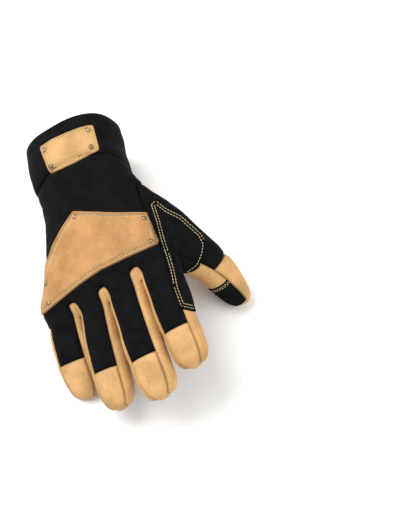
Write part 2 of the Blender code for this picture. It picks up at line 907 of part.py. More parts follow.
def under_cuff(tree, to_world, x, y):
    """The point of the cuff's palm side at a place of the hand's own frame, and its outward normal."""
    start = to_world @ Vector((x, y, -CUFF_DEPTH))
    way = (to_world.to_3x3() @ Vector((0, 0, 1))).normalized()
    spot, normal, _, _ = tree.ray_cast(start, way)
    return spot, normal


def add_pull_loop(skin, to_world):
    tree = BVHTree.FromBMesh(skin.mesh)
    mouth = HAND_REACH + CUFF_REACH
    middle = CUFF_ROWS[-1].aside * finger_centres()[1] + LOOP_ASIDE
    along = (to_world.to_3x3() @ Vector((0, 1, 0))).normalized()
    strap = []
    label = []
    for path, lines in ((LOOP_PATH, strap), (LABEL_PATH, label)):
        width = LOOP_WIDTH if path is LOOP_PATH else LABEL_WIDTH
        for step in path:
            line = []
            for column in COLUMNS:
                y = mouth + min(step.along * MM, -MOUTH_INSET)
                spot, normal = under_cuff(tree, to_world, middle + column * width / 2, y)
                beyond = max(0, step.along * MM + MOUTH_INSET)
                line.append(spot + normal * step.out * MM + along * beyond)
            lines.append(line)
    add_strip("pull_loop", strap, LOOP_THICKNESS, TAN)
    add_strip("size_label", label, LABEL_THICKNESS, MUSTARD)


def lay_on_floor(skin):
    """Flattens the skin where it rests. The fingertips rest on their patches, so they stay higher."""
    layer = skin.mesh.faces.layers.int["zone"]
    tips = {skin.zones[name] for name in skin.frames}
    for vert in skin.mesh.verts:
        on_patch = any(face[layer] in tips for face in vert.link_faces)
        floor = OVERLAY_GAP + PATCH_THICKNESS if on_patch else 0.0
        vert.co.z = max(vert.co.z, floor)


def centre_on_floor():
    """Moves the holder so that the middle of the glove's box is at the origin and its lowest point at 0."""
    bpy.context.view_layer.update()
    graph = bpy.context.evaluated_depsgraph_get()
    points = []
    for obj in bpy.data.collections[GLOVE].objects:
        if obj.type == "MESH":
            shape = obj.evaluated_get(graph)
            points += [shape.matrix_world @ vert.co for vert in shape.data.vertices]
    lows = [min(point[axis] for point in points) for axis in range(3)]
    highs = [max(point[axis] for point in points) for axis in range(3)]
    middle = [(low + high) / 2 for low, high in zip(lows, highs)]
    bpy.data.objects[HOLDER].location = (-middle[0], -middle[1], -lows[2])


def main():
    for obj in list(bpy.data.objects):
        bpy.data.objects.remove(obj)
    for name in (GLOVE, CUTTERS):
        collection = bpy.data.collections.new(name)
        bpy.context.scene.collection.children.link(collection)
    holder = bpy.data.objects.new(HOLDER, None)
    bpy.data.collections[GLOVE].objects.link(holder)

    skin = build_skin()
    to_world = pose()
    skin.mesh.transform(to_world)
    turn = to_world.to_3x3()
    for name, frame in skin.frames.items():
        skin.frames[name] = frame._replace(
            place=to_world @ frame.place,
            heading=turn @ frame.heading,
            back=turn @ frame.back,
            across=turn @ frame.across,
        )
    lay_on_floor(skin)
    bmesh.ops.triangulate(skin.mesh, faces=skin.mesh.faces[:], quad_method="SHORT_EDGE")
    mark_normals(skin.mesh)
    panel = skin.mesh.faces.layers.int["panel"]
    zone = skin.mesh.faces.layers.int["zone"]

    for number, name in enumerate(skin.names):
        part = keep_faces(skin.mesh, lambda face: face[panel] == number)
        draw_in(part, SEAM_GAP / 2)
        wall = FABRIC_WALL if name in FABRIC_PANELS else LEATHER_WALL
        thicken(part, -(PALM_WALL if name == "palm_panel" else wall))
        add_object(part, name, BLACK if name in FABRIC_PANELS else TAN)

    back, cuff = (skin.names.index(name) for name in ("back_panel", "cuff"))
    saddle = skin.zones["saddle"]
    shield_tree = add_seen_patch(skin, SHIELD, lambda face: face[panel] == back, TAN)
    badge_tree = add_seen_patch(
        skin, BADGE, lambda face: face[panel] in (back, cuff) and face.normal.z > FACING_UP, LIGHT_TAN
    )
    add_seen_patch(skin, SADDLE, lambda face: face[zone] == saddle, BLACK)
    for name, frame in skin.frames.items():
        add_tip_patch(skin, name, frame, BLACK)
    for number, (across, up) in enumerate(SHIELD_RIVETS, 1):
        add_rivet(f"shield_rivet_{number}", shield_tree, SHIELD, across, up)
    for number, (across, up) in enumerate(BADGE_RIVETS, 1):
        add_rivet(f"badge_rivet_{number}", badge_tree, BADGE, across, up)
    add_pull_loop(skin, to_world)
    centre_on_floor()


main()
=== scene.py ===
"""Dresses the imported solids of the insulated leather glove: padded panels, sewn patches,
stitching, rivets, the pull loop, a floor, lights and the camera."""

import json
import math
from collections import namedtuple

import bmesh
import bpy
import numpy as np
from mathutils import Matrix, Vector, noise
from mathutils.bvhtree import BVHTree
from mathutils.kdtree import KDTree

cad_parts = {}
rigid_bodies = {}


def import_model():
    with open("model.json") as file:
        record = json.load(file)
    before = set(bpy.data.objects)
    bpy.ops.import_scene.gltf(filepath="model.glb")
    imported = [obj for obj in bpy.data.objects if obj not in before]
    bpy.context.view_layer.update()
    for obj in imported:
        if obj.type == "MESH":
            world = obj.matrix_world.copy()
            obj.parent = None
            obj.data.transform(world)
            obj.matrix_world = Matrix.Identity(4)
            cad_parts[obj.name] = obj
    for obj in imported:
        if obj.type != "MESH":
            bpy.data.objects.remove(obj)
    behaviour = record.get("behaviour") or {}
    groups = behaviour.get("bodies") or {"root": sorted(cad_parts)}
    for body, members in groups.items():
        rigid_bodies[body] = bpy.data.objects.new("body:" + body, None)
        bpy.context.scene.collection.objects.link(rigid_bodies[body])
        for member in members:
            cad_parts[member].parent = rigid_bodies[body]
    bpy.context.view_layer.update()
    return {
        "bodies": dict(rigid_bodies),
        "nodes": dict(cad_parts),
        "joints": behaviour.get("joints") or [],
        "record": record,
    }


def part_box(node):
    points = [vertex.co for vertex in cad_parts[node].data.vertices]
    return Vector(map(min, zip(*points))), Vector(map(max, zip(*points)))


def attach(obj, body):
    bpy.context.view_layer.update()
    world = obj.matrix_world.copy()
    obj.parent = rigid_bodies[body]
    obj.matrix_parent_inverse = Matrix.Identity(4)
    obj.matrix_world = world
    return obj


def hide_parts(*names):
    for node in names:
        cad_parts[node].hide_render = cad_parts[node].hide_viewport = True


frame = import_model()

bl_info = {
    "name": "Insulated glove looks",
    "version": (1, 0, 0),
    "blender": (4, 5, 0),
    "location": "View3D > Sidebar > Glove",
    "description": "Padded panels, patches, stitching and trim for the packed glove",
    "category": "Object",
}

MM = 0.001

# The glove's shape, in the same sizes and tables as its solids
# Fingers
FINGER_LENGTH = 92 * MM
FINGER_WIDTH = 32.5 * MM
FINGER_DEPTH = 27 * MM
CAP_LENGTH = 40 * MM
WEB_GAP = 1.6 * MM
# How far the row of fingers stands towards the little finger's side
FINGERS_ASIDE = 1.3 * MM

# Hand and cuff
HAND_DEPTH = 37 * MM
HAND_REACH = 126 * MM
CUFF_BREADTH = 87 * MM
CUFF_DEPTH = 66 * MM
CUFF_REACH = 45 * MM

# The cuff seam arches towards the mouth on the back and ends the palm leather in a tongue
SEAM_ARCH = 9 * MM
PALM_TONGUE = 12 * MM
TONGUE_SIDE_SHARE = 0.5

# Thumb
THUMB_WIDTH = 33 * MM
THUMB_DEPTH = 29 * MM

# How it lies: rolled onto its little finger side, with the cuff a little lower
ROLL = 30
PITCH = 2.2
REST_HEIGHT = 45 * MM

# Walls
FABRIC_WALL = 2.4 * MM
LEATHER_WALL = 1.6 * MM

# A finger, as shares of the finger sizes above. Web, shift and lift are in shares of its width.
Finger = namedtuple("Finger", "name length width depth cap web lift splay root_curl curl")
FINGERS = (
    Finger("little", 0.69, 1.00, 0.88, 0.78, 0.10, -0.10, -3, 0, 32),
    Finger("ring", 0.90, 0.90, 0.94, 0.80, -0.04, 0.00, -3, 0, 18),
    Finger("middle", 1.00, 0.96, 1.00, 0.83, 0.06, 0.04, 2, 0, 18),
    Finger("index", 0.92, 0.94, 0.98, 0.79, 0.26, -0.02, 2.7, 0, 20),
)

# Rings of the part of a finger before its cap: share of that part, of the width, of the depth
FINGER_ROWS = (
    (0.00, 1.00, 1.04),
    (0.14, 1.01, 1.02),
    (0.34, 1.03, 1.00),
    (0.56, 1.04, 1.00),
    (0.78, 1.04, 0.99),
    (1.00, 1.03, 0.98),
)
# Rings of a cap: share of the cap's length, of the width, of the depth
CAP_ROWS = (
    (0.30, 1.02, 0.96),
    (0.58, 0.98, 0.90),
    (0.80, 0.87, 0.80),
    (0.94, 0.66, 0.60),
    (1.00, 0.42, 0.38),
)

# Rings of the hand from the webs to the cuff seam: share of the reach, of the breadth, of the
# depth, and of the breadth that the middle moves towards the thumb
HandRow = namedtuple("HandRow", "along breadth depth aside")
HAND_ROWS = (
    HandRow(0.041, 1.02, 0.90, -0.01),
    HandRow(0.081, 1.03, 0.96, -0.02),
    HandRow(0.127, 1.02, 1.00, -0.022),
    HandRow(0.181, 1.00, 1.04, -0.018),
    HandRow(0.326, 0.93, 1.13, 0.0),
    HandRow(0.489, 0.846, 1.25, 0.008),
    HandRow(0.642, 0.774, 1.34, 0.003),
    HandRow(0.787, 0.72, 1.42, -0.008),
    HandRow(0.905, 0.69, 1.49, 0.0),
    HandRow(1.00, 0.70, 1.57, -0.024),
)
THUMB_FIRST_ROW = 3
THUMB_LAST_ROW = 7
# The first rings of the hand: how much they keep of the fingers' section and of the webs' places
WEB_ROWS = (
    (0.62, 1.00),
    (0.30, 0.75),
    (0.08, 0.50),
)
# The webs: how deep the dip between two fingers is, as a share of a finger's depth, how far its
# top and its floor lie back, and the rounded top of each fourchette on the back of the hand
WEB_DEPTH = 0.26
WEB_TOP_SETBACK = 1.0 * MM
WEB_FLOOR_SETBACK = 4.5 * MM
U_TOP_ROW = 1
U_TOP_PINCH = 0.3
U_TOP_RISE = 2.5 * MM

# Rings of the cuff from its seam to the mouth: share of the reach, of its breadth and depth
CUFF_ROWS = (
    HandRow(0.37, 1.00, 0.96, -0.05),
    HandRow(0.58, 1.01, 0.99, -0.05),
    HandRow(0.80, 1.00, 1.00, -0.05),
    HandRow(1.00, 0.98, 0.98, -0.05),
)

# Rings of the thumb: share of the way along its line, of its width and depth, and how far its
# section reaches on as a web towards the index finger, as a share of its width
THUMB_ROWS = (
    (0.44, 1.10, 1.10, 0.45),
    (0.57, 1.02, 1.02, 0.20),
    (0.69, 0.98, 0.98, 0.03),
    (0.80, 0.92, 0.92, 0.00),
    (0.90, 0.78, 0.78, 0.00),
    (0.97, 0.56, 0.56, 0.00),
    (1.00, 0.34, 0.34, 0.00),
)
THUMB_CAP_ROW = 4
# Rings between the hand and the first of those: share of the way, and how far the fold towards
# the index finger and the outer side stand out, as shares of the thumb's width
THUMB_ROOT_ROWS = (
    (0.34, 0.12, 0.20),
    (0.68, 0.16, 0.16),
)
FOLD_WAY = Vector((0.95, -0.30, -0.10))
OUTER_WAY = Vector((0.75, 0.45, 0.10))
NEXT_SHARE = 0.5
ROOT_SMOOTHING = 5
# The thumb's line bends between three points of the hand's own frame
THUMB_LINE = (
    Vector((36 * MM, 84 * MM, -8 * MM)),
    Vector((70 * MM, 40 * MM, -30 * MM)),
    Vector((76.7 * MM, 1 * MM, -90.9 * MM)),
)
THUMB_BACK_AT_ROOT = Vector((0.55, 0.0, 0.85))
THUMB_BACK_AT_TIP = Vector((0.95, 0.1, 0.2))

# The side from which the sewn-on pieces are seen and their patterns are drawn, how far off the
# search for the surface starts, and the gap below a sewn-on piece
VIEW_TURN = -12.6
VIEW_RISE = 60 + PITCH
CUTTER_REACH = 200 * MM
OVERLAY_GAP = 0.35 * MM

# Corners as shares of the span from the middle that across and up place on the glove, with the
# radius of the corner in millimetres. Behind is how far the pattern cuts past the middle of the webs.
Pattern = namedtuple("Pattern", "name across up behind span thickness corners")
SHIELD = Pattern(
    "knuckle_shield",
    across=-20.0 * MM,
    up=36.0 * MM,
    behind=60 * MM,
    span=100 * MM,
    thickness=1.6 * MM,
    corners=(
        (-0.170, 0.428, 2),
        (0.171, 0.412, 0),
        (0.488, 0.406, 2),
        (0.526, 0.272, 0),
        (0.564, 0.146, 2),
        (0.356, 0.054, 0),
        (0.088, -0.070, 0),
        (-0.092, -0.192, 0),
        (-0.258, -0.323, 0),
        (-0.396, -0.435, 0),
        (-0.520, -0.500, 0),
        (-0.580, -0.220, 0),
        (-0.460, -0.120, 0),
        (-0.400, -0.020, 0),
        (-0.345, 0.134, 0),
        (-0.274, 0.268, 0),
    ),
)
BADGE = Pattern(
    "cuff_badge",
    across=-42.0 * MM,
    up=HAND_REACH + 7.0 * MM,
    behind=90 * MM,
    span=50 * MM,
    thickness=1.4 * MM,
    corners=(
        (-0.540, 0.044, 3),
        (-0.310, 0.180, 0),
        (-0.066, 0.280, 0),
        (0.180, 0.370, 0),
        (0.400, 0.424, 3),
        (0.536, -0.036, 3),
        (0.320, -0.140, 0),
        (0.110, -0.254, 0),
        (-0.120, -0.350, 0),
        (-0.336, -0.432, 3),
    ),
)
SADDLE = Pattern(
    "saddle_patch",
    across=52.0 * MM,
    up=44.0 * MM,
    behind=33 * MM,
    span=90 * MM,
    thickness=1.2 * MM,
    corners=(
        (-0.211, 0.517, 2),
        (-0.278, 0.450, 2),
        (-0.219, 0.278, 0),
        (-0.171, 0.100, 0),
        (-0.122, -0.039, 0),
        (-0.082, -0.163, 0),
        (-0.044, -0.336, 0),
        (0.020, -0.500, 2),
        (0.240, -0.555, 2),
        (0.186, -0.370, 0),
        (0.094, -0.244, 3),
        (0.220, -0.152, 4),
        (0.272, -0.033, 3),
        (0.289, 0.082, 4),
        (0.239, 0.182, 2),
        (0.140, 0.271, 0),
        (0.044, 0.357, 0),
        (-0.089, 0.422, 0),
    ),
)

# Rivets, as shares of the patch's span across and up from its middle
SHIELD_RIVETS = ((-0.156, 0.380), (0.442, 0.362), (0.510, 0.170), (-0.365, -0.355), (-0.400, -0.190))
BADGE_RIVETS = ((-0.444, -0.012), (0.328, 0.328), (0.390, 0.024), (-0.320, -0.308))
RIVET_RADIUS = 2.4 * MM
RIVET_HEIGHT = 1.3 * MM

# Grip patches on the fingertips
PATCH_THICKNESS = 0.9 * MM
PATCH_SHARE = 0.76
PATCH_LENGTH_SHARE = 0.70
TIP_RIM = 3.5 * MM
PATCH_HEM_RADIUS = 1.5 * MM
PATCH_TIP_ROUNDING = 0.9
THUMB_PATCH_TURN = -30
THUMB_PATCH_SHARE = 1.0
THUMB_PATCH_ROUNDING = 0.3

# Pull loop and size label on the palm side of the cuff. Each step: millimetres past the mouth and
# out from the cuff's outer surface, to the middle of the strap's thickness
LOOP_WIDTH = 19 * MM
LOOP_THICKNESS = 1.6 * MM
LOOP_ASIDE = 4 * MM
LABEL_WIDTH = 15 * MM
LABEL_THICKNESS = 0.6 * MM
Step = namedtuple("Step", "along out")
LOOP_PATH = (
    Step(-48, 1.3),
    Step(-36, 1.3),
    Step(-24, 1.3),
    Step(-12, 1.3),
    Step(-2, 1.4),
    Step(4, 2.2),
    Step(10, 2.6),
    Step(13.5, 1.2),
    Step(14.5, -1.2),
    Step(13.5, -3.6),
    Step(10, -5.0),
    Step(4, -4.6),
    Step(-2, -3.9),
    Step(-13, -3.8),
)
LABEL_PATH = (
    Step(-43, 2.8),
    Step(-36, 2.8),
    Step(-24, 2.8),
    Step(-14, 2.8),
)

# Sections: how square they are, how far the upper face reaches out before the side begins, where
# the side's points lie as a share of the height there, and the columns of a finger's upper face
FULLNESS = 2.4
FINGER_FULLNESS = 2.9
CORNER = 0.92
FINGER_CORNER = 0.80
SIDE_LEVEL = 1 / 3
COLUMNS = (-1, -0.5, 0, 0.5, 1)
TIP_BULGE = 1.2 * MM
LINE_STEP = 0.01
ARC_STEPS = 3


# The end of a finger or of the thumb: where it is, its three directions and its sizes
TipFrame = namedtuple("TipFrame", "place heading back across width cap")


def height_at(x, half_width, half_depth, fullness):
    share = min(1.0, abs(x) / half_width)
    return half_depth * (1 - share**fullness) ** (1 / fullness)


def section(xs, half_width, half_depth, fullness):
    """Points (x, z) of one ring: top left to right, right side, bottom right to left, left side."""
    top = [(x, height_at(x, half_width, half_depth, fullness)) for x in xs]
    bottom = [(x, -z) for x, z in reversed(top)]
    level = top[-1][1] * SIDE_LEVEL
    reach = height_at(level, half_depth, half_width, fullness)
    right = [(reach, level), (reach, -level)]
    left = [(-reach, -level), (-reach, level)]
    return top + right + bottom + left


def finger_centres():
    """The middle of each finger across the hand, and the breadth of all four."""
    breadth = sum(f.width for f in FINGERS) * FINGER_WIDTH + WEB_GAP * (len(FINGERS) - 1)
    centres = []
    edge = -breadth / 2 - FINGERS_ASIDE
    for finger in FINGERS:
        width = finger.width * FINGER_WIDTH
        centres.append(edge + width / 2)
        edge += width + WEB_GAP
    return centres, breadth


def finger_rings(finger, centre):
    """Rings of 14 points from the web to the tip, and the direction at the tip."""
    width = finger.width * FINGER_WIDTH
    depth = finger.depth * FINGER_DEPTH
    length = finger.length * FINGER_LENGTH
    cap = finger.cap * CAP_LENGTH
    splay = math.radians(finger.splay)
    forward = Vector((math.sin(splay), -math.cos(splay), 0))
    up = Vector((0, 0, 1))
    rows = [(share * (length - cap), w, d) for share, w, d in FINGER_ROWS]
    rows += [(length - cap + share * cap, w, d) for share, w, d in CAP_ROWS]
    place = Vector((centre, finger.web * FINGER_WIDTH, finger.lift * FINGER_WIDTH))
    done = 0.0
    rings = []
    for distance, wide, deep in rows:
        turn = math.radians(finger.root_curl + finger.curl * distance / length)
        heading = forward * math.cos(turn) - up * math.sin(turn)
        lifted = forward * math.sin(turn) + up * math.cos(turn)
        place = place + heading * (distance - done)
        done = distance
        across = lifted.cross(heading)
        half = width * wide / 2
        xs = [share * FINGER_CORNER * half for share in COLUMNS]
        outline = section(xs, half, depth * deep / 2, FINGER_FULLNESS)
        ring = [place + across * x + lifted * z for x, z in outline]
        rings.append(ring)
    return rings, TipFrame(place, heading, lifted, across, width, cap)


def bezier(points, t):
    a, b, c = points
    return a * (1 - t) ** 2 + b * 2 * t * (1 - t) + c * t**2


def thumb_rings():
    rings = []
    for share, wide, deep, web in THUMB_ROWS:
        here = bezier(THUMB_LINE, share)
        behind, ahead = bezier(THUMB_LINE, share - LINE_STEP), bezier(THUMB_LINE, share + LINE_STEP)
        heading = (ahead - behind).normalized()
        back = THUMB_BACK_AT_ROOT.lerp(THUMB_BACK_AT_TIP, share)
        back = (back - heading * back.dot(heading)).normalized()
        across = heading.cross(back)
        half = THUMB_WIDTH * (wide + web) / 2
        here = here + across * THUMB_WIDTH * web / 2
        xs = [s * FINGER_CORNER * half for s in COLUMNS]
        outline = section(xs, half, THUMB_DEPTH * deep / 2, FULLNESS)
        ring = [here + across * x + back * z for x, z in outline]
        rings.append(ring)
    return rings, TipFrame(here, heading, back, across, THUMB_WIDTH, CAP_LENGTH)


class Skin:
    """The glove's outer surface as one mesh, each face marked with its panel."""

    def __init__(self):
        self.mesh = bmesh.new()
        self.panel = self.mesh.faces.layers.int.new("panel")
        self.zone = self.mesh.faces.layers.int.new("zone")
        self.names = []
        self.zones = {}
        self.frames = {}

    def number(self, name):
        if name not in self.names:
            self.names.append(name)
        return self.names.index(name)

    def ring(self, points):
        return [self.mesh.verts.new(p) for p in points]

    def face(self, corners, name, zone=None):
        made = self.mesh.faces.new(corners)
        made[self.panel] = self.number(name)
        if zone:
            made[self.zone] = self.zones.setdefault(zone, len(self.zones) + 1)

    def tube(self, near, far, name_of, zone_of=lambda i: None):
        """Quads between two rings. name_of(i) is the panel of side i, or None to leave it open."""
        count = len(near)
        for i in range(count):
            name = name_of(i)
            if name:
                j = (i + 1) % count
                self.face((near[i], near[j], far[j], far[i]), name, zone_of(i))

    def tip(self, ring, heading, bulge, name, zone):
        """Closes a ring of 14 with a grid of 4 by 3 quads."""
        left = [ring[13], ring[12]]
        right = [ring[5], ring[6]]
        rows = [ring[0:5]]
        for row in range(2):
            share = (row + 1) / 3
            line = [left[row]]
            for column in (1, 2, 3):
                top = ring[column].co
                bottom = ring[11 - column].co
                line.append(self.mesh.verts.new(top.lerp(bottom, share) + heading * bulge))
            line.append(right[row])
            rows.append(line)
        rows.append(list(reversed(ring[7:12])))
        for row in range(3):
            for column in range(4):
                self.face(
                    (
                        rows[row][column],
                        rows[row][column + 1],
                        rows[row + 1][column + 1],
                        rows[row + 1][column],
                    ),
                    name,
                    zone if row > 0 else None,
                )


def finger_zone(name, row, seam):
    """The lower side of the cap, where its grip patch lies, and the side of the index finger."""

    def zone_of(i):
        if row >= seam - 1 and 6 <= i <= 11:
            return name
        if name == "index" and row < 3 and 3 <= i < 6:
            return "saddle"
        return None

    return zone_of


FOURCHETTES = ("ring_little_fourchette", "middle_ring_fourchette", "index_middle_fourchette")
TOP_GAPS = ((4, 5), (10, 11), (16, 17))


def hand_panel(row):
    """The panel of side i of the hand's ring, between this row and the next one away from the webs."""

    def name_of(i):
        if i < 22:
            for gap, sides in enumerate(TOP_GAPS):
                if i in sides and row <= U_TOP_ROW:
                    return FOURCHETTES[gap]
            return "back_panel"
        if i < 25:
            if THUMB_FIRST_ROW < row <= THUMB_LAST_ROW:
                return None
            return "back_panel" if i == 22 or (i == 23 and row > THUMB_LAST_ROW) else "palm_panel"
        return "back_panel" if i == 49 else "palm_panel"

    return name_of


def hand_zone(row):
    """The thumb side of the hand, which the saddle patch covers on to the thumb."""
    lowest = 24 if row < THUMB_FIRST_ROW else 23

    def zone_of(i):
        return "saddle" if row < len(HAND_ROWS) and 20 <= i < lowest else None

    return zone_of


def finger_panel(index, capped):
    name = FINGERS[index].name

    def name_of(i):
        if i < 4:
            return name + "_cap" if capped else "back_panel"
        if i < 7:
            return FOURCHETTES[index] if index < 3 else "palm_panel"
        if i < 11:
            return "palm_panel"
        return FOURCHETTES[index - 1] if index > 0 else "palm_panel"

    return name_of


def thumb_panel(capped):
    def name_of(i):
        if i < 4 or i == 13:
            return "thumb_cap" if capped else "thumb_back"
        return "thumb_palm"

    return name_of


def thumb_zone(row):
    def zone_of(i):
        if row > THUMB_CAP_ROW - 1 and 4 <= i <= 10:
            return "thumb"
        return "saddle" if row < THUMB_CAP_ROW and (i < 4 or i == 13) else None

    return zone_of


def build_skin():
    skin = Skin()
    centres, breadth = finger_centres()
    roots = []
    for index, finger in enumerate(FINGERS):
        points, frame = finger_rings(finger, centres[index])
        heading = frame.heading
        rings = [skin.ring(p) for p in points]
        seam = len(FINGER_ROWS) - 1
        for row in range(len(rings) - 1):
            zone_of = finger_zone(finger.name, row, seam)
            skin.tube(rings[row + 1], rings[row], finger_panel(index, row >= seam), zone_of)
        skin.tip(rings[-1], heading, TIP_BULGE, finger.name + "_cap", finger.name)
        skin.frames[finger.name] = frame
        roots.append(rings[0])

    # The web row: the fingers' first rings with a middle line between neighbours
    tops = []
    bottoms = []
    for index in range(4):
        tops += roots[index][0:5]
        if index < 3:
            a, b = roots[index], roots[index + 1]
            middles = []
            pairs = ((a[4], b[0]), (a[5], b[13]), (a[6], b[12]), (a[7], b[11]))
            for level, (p, q) in enumerate(pairs):
                middle = (p.co + q.co) / 2
                if level == 0:
                    middle.z -= WEB_DEPTH * FINGER_DEPTH
                    middle.y += WEB_TOP_SETBACK
                elif level < 3:
                    middle.y += WEB_FLOOR_SETBACK
                middles.append(skin.mesh.verts.new(middle))
            for level in range(3):
                p, q = pairs[level]
                below_p, below_q = pairs[level + 1]
                m, n = middles[level], middles[level + 1]
                skin.face((p, below_p, n, m), FOURCHETTES[index])
                skin.face((m, n, below_q, q), FOURCHETTES[index])
            tops.append(middles[0])
            bottoms.append(middles[3])
    web_row = list(tops)
    web_row += roots[3][5:7]
    for index in (3, 2, 1, 0):
        web_row += roots[index][7:12]
        if index > 0:
            web_row.append(bottoms[index - 1])
    web_row += roots[0][12:14]

    # Lines along the hand keep the shares of the breadth that they have at the webs
    across = [v.co.x for v in web_row[0:23]]
    middle, reach = (across[0] + across[-1]) / 2, (across[-1] - across[0]) / 2
    shares = [(x - middle) / reach for x in across]
    web_points = [v.co.copy() for v in web_row]

    rings = [web_row]
    for number, row in enumerate(HAND_ROWS + CUFF_ROWS):
        if number < len(HAND_ROWS):
            y = row.along * HAND_REACH
            half, deep = row.breadth * breadth / 2, row.depth * HAND_DEPTH / 2
        else:
            y = HAND_REACH + row.along * CUFF_REACH
            half, deep = row.breadth * CUFF_BREADTH / 2, row.depth * CUFF_DEPTH / 2
        aside = row.aside * breadth
        xs = [s * CORNER * half for s in shares]
        points = [Vector((x + aside, y, z)) for x, z in section(xs, half, deep, FULLNESS)]
        if number < len(WEB_ROWS):
            section_kept, place_kept = WEB_ROWS[number]
            for point, web in zip(points, web_points):
                point.x += (web.x - point.x) * section_kept
                point.z += (web.z - point.z) * section_kept
                point.y += web.y * place_kept
        if number == len(HAND_ROWS) - 1:
            for i, point in enumerate(points):
                share = (point.x - aside) / half
                if i < 23:
                    point.y += SEAM_ARCH * (1 - share**2)
                else:
                    point.y -= PALM_TONGUE * share**2 * (TONGUE_SIDE_SHARE if i in (23, 49) else 1)
        if number == U_TOP_ROW:
            for left, right in TOP_GAPS:
                middle = points[right]
                points[left] = points[left].lerp(middle, U_TOP_PINCH)
                points[right + 1] = points[right + 1].lerp(middle, U_TOP_PINCH)
                points[right] = middle + Vector((0, U_TOP_RISE, 0))
        ring = skin.ring(points)
        in_hand = number < len(HAND_ROWS)
        name_of = hand_panel(number) if in_hand else lambda i: "cuff"
        skin.tube(rings[-1], ring, name_of, hand_zone(number))
        rings.append(ring)

    first, last = THUMB_FIRST_ROW + 1, THUMB_LAST_ROW + 1
    hole = [rings[row][22] for row in range(last, first - 1, -1)]
    hole += [rings[first][23], rings[first][24]]
    hole += [rings[row][25] for row in range(first, last + 1)]
    hole += [rings[last][24], rings[last][23]]
    points, frame = thumb_rings()
    root = []
    for share, fold, outer in THUMB_ROOT_ROWS:
        around = [vert.co.lerp(point, share) for vert, point in zip(hole, points[0])]
        for i in (4, 5, 6, 7):
            around[i] += FOLD_WAY * THUMB_WIDTH * fold
        for i in (3, 8):
            around[i] += FOLD_WAY * THUMB_WIDTH * fold * NEXT_SHARE
        for i in (11, 12, 13, 0):
            around[i] += OUTER_WAY * THUMB_WIDTH * outer
        for i in (1, 10):
            around[i] += OUTER_WAY * THUMB_WIDTH * outer * NEXT_SHARE
        root.append(around)
    points = root + points
    ring = hole
    for row, around in enumerate(points):
        further = skin.ring(around)
        skin.tube(further, ring, thumb_panel(row > THUMB_CAP_ROW), thumb_zone(row))
        ring = further
    skin.tip(ring, frame.heading, TIP_BULGE, "thumb_cap", "thumb")
    skin.frames["thumb"] = frame
    near_thumb = set(hole)
    near_thumb |= {v for v in skin.mesh.verts if any(e.other_vert(v) in set(hole) for e in v.link_edges)}
    for _ in range(ROOT_SMOOTHING):
        bmesh.ops.smooth_vert(
            skin.mesh, verts=list(near_thumb), factor=0.5, use_axis_x=True, use_axis_y=True, use_axis_z=True
        )
    loose = [vert for vert in skin.mesh.verts if not vert.link_faces]
    bmesh.ops.delete(skin.mesh, geom=loose, context="VERTS")
    bmesh.ops.recalc_face_normals(skin.mesh, faces=skin.mesh.faces)
    return skin


def pose():
    return (
        Matrix.Translation((0, 0, REST_HEIGHT))
        @ Matrix.Rotation(math.radians(-PITCH), 4, "X")
        @ Matrix.Rotation(math.radians(-ROLL), 4, "Y")
    )


SOFT_PANELS = {
    "back_panel": "fabric",
    "cuff": "fabric",
    "thumb_back": "fabric",
    "palm_panel": "tread",
    "thumb_palm": "leather",
    "thumb_cap": "leather",
    "index_cap": "leather",
    "middle_cap": "leather",
    "ring_cap": "leather",
    "little_cap": "leather",
    "index_middle_fourchette": "leather",
    "middle_ring_fourchette": "leather",
    "ring_little_fourchette": "leather",
}
FABRIC_PANELS = ("back_panel", "cuff", "thumb_back")

# How padded each kind of panel is between its seams, in millimetres, and how wide the rise is
PUFF = {"fabric": (1.5, 7.0), "tread": (0.9, 7.0), "leather": (1.1, 4.0)}
SEAM_HALF_WIDTH = 1.3
# Broad dents, folds across the fingers and puckers at the seams: size and depth in millimetres
DENT = (26.0, 1.5)
FOLD = (9.0, 0.45)
PUCKER = (3.2, 0.35, 4.0)
FOLD_STRETCH = Vector((0.45, 1.0, 0.45))
NOISE_SEED = Vector((3.7, 11.2, 5.9))
# How much calmer the dents, folds and puckers are at a seam, and how far from it
SEAM_CALM = (0.6, 2.0)
# On the fingers the tread covers only what faces the palm by more than this, and fades over this
TREAD_FACING = 0.72
TREAD_FADE = 0.12
# On the hand it covers all: where the hand starts, how it fades in, and its weight there
HAND_START = -4
HAND_FADE = 10
HAND_TREAD = 20
# The rounded tops of the fourchettes: rounds of smoothing, how far a point moves in each, how many
# rows of points beside the seam follow, and how far down the fingers they reach, in millimetres
U_ROUNDS = 30
RELAX_SHARE = 0.5
U_BAND = 5
U_REACH = -6.0

# Folds on the back that the photograph shows: two ends in the hand's own frame (x, y), width, depth
Fold = namedtuple("Fold", "start end width depth")
BACK_FOLDS = (
    Fold((-52, 128), (34, 130), 3.5, -1.6),
    Fold((-40, 137), (20, 139), 4.5, 0.9),
    Fold((30, 100), (48, 70), 4.0, -1.2),
    Fold((38, 108), (56, 84), 4.0, 1.0),
    Fold((-46, 96), (-30, 104), 4.0, -0.8),
)
# They touch only what lies above this height there, and fade towards their ends
FOLDS_ABOVE = -4
FOLD_ENDS = (0.02, 0.98)

# The edge of a patch: its rounding, the rings of points that shape it (millimetres in from the
# edge), how far it bulges and over how many millimetres, how deep its underside sinks into the
# skin, and how far its top is lifted off it
EDGE_RADIUS = 1.3 * MM
RIM_RINGS = (0.35, 0.8, 1.4, 2.1)
PATCH_PILLOW = 0.5 * MM
PILLOW_REACH = 7.0
PATCH_SINK = 0.25 * MM
PATCH_LIFT = 0.05 * MM
# A groove along each row of stitches: depth and width in millimetres
STITCH_GROOVE = (0.45, 0.7)
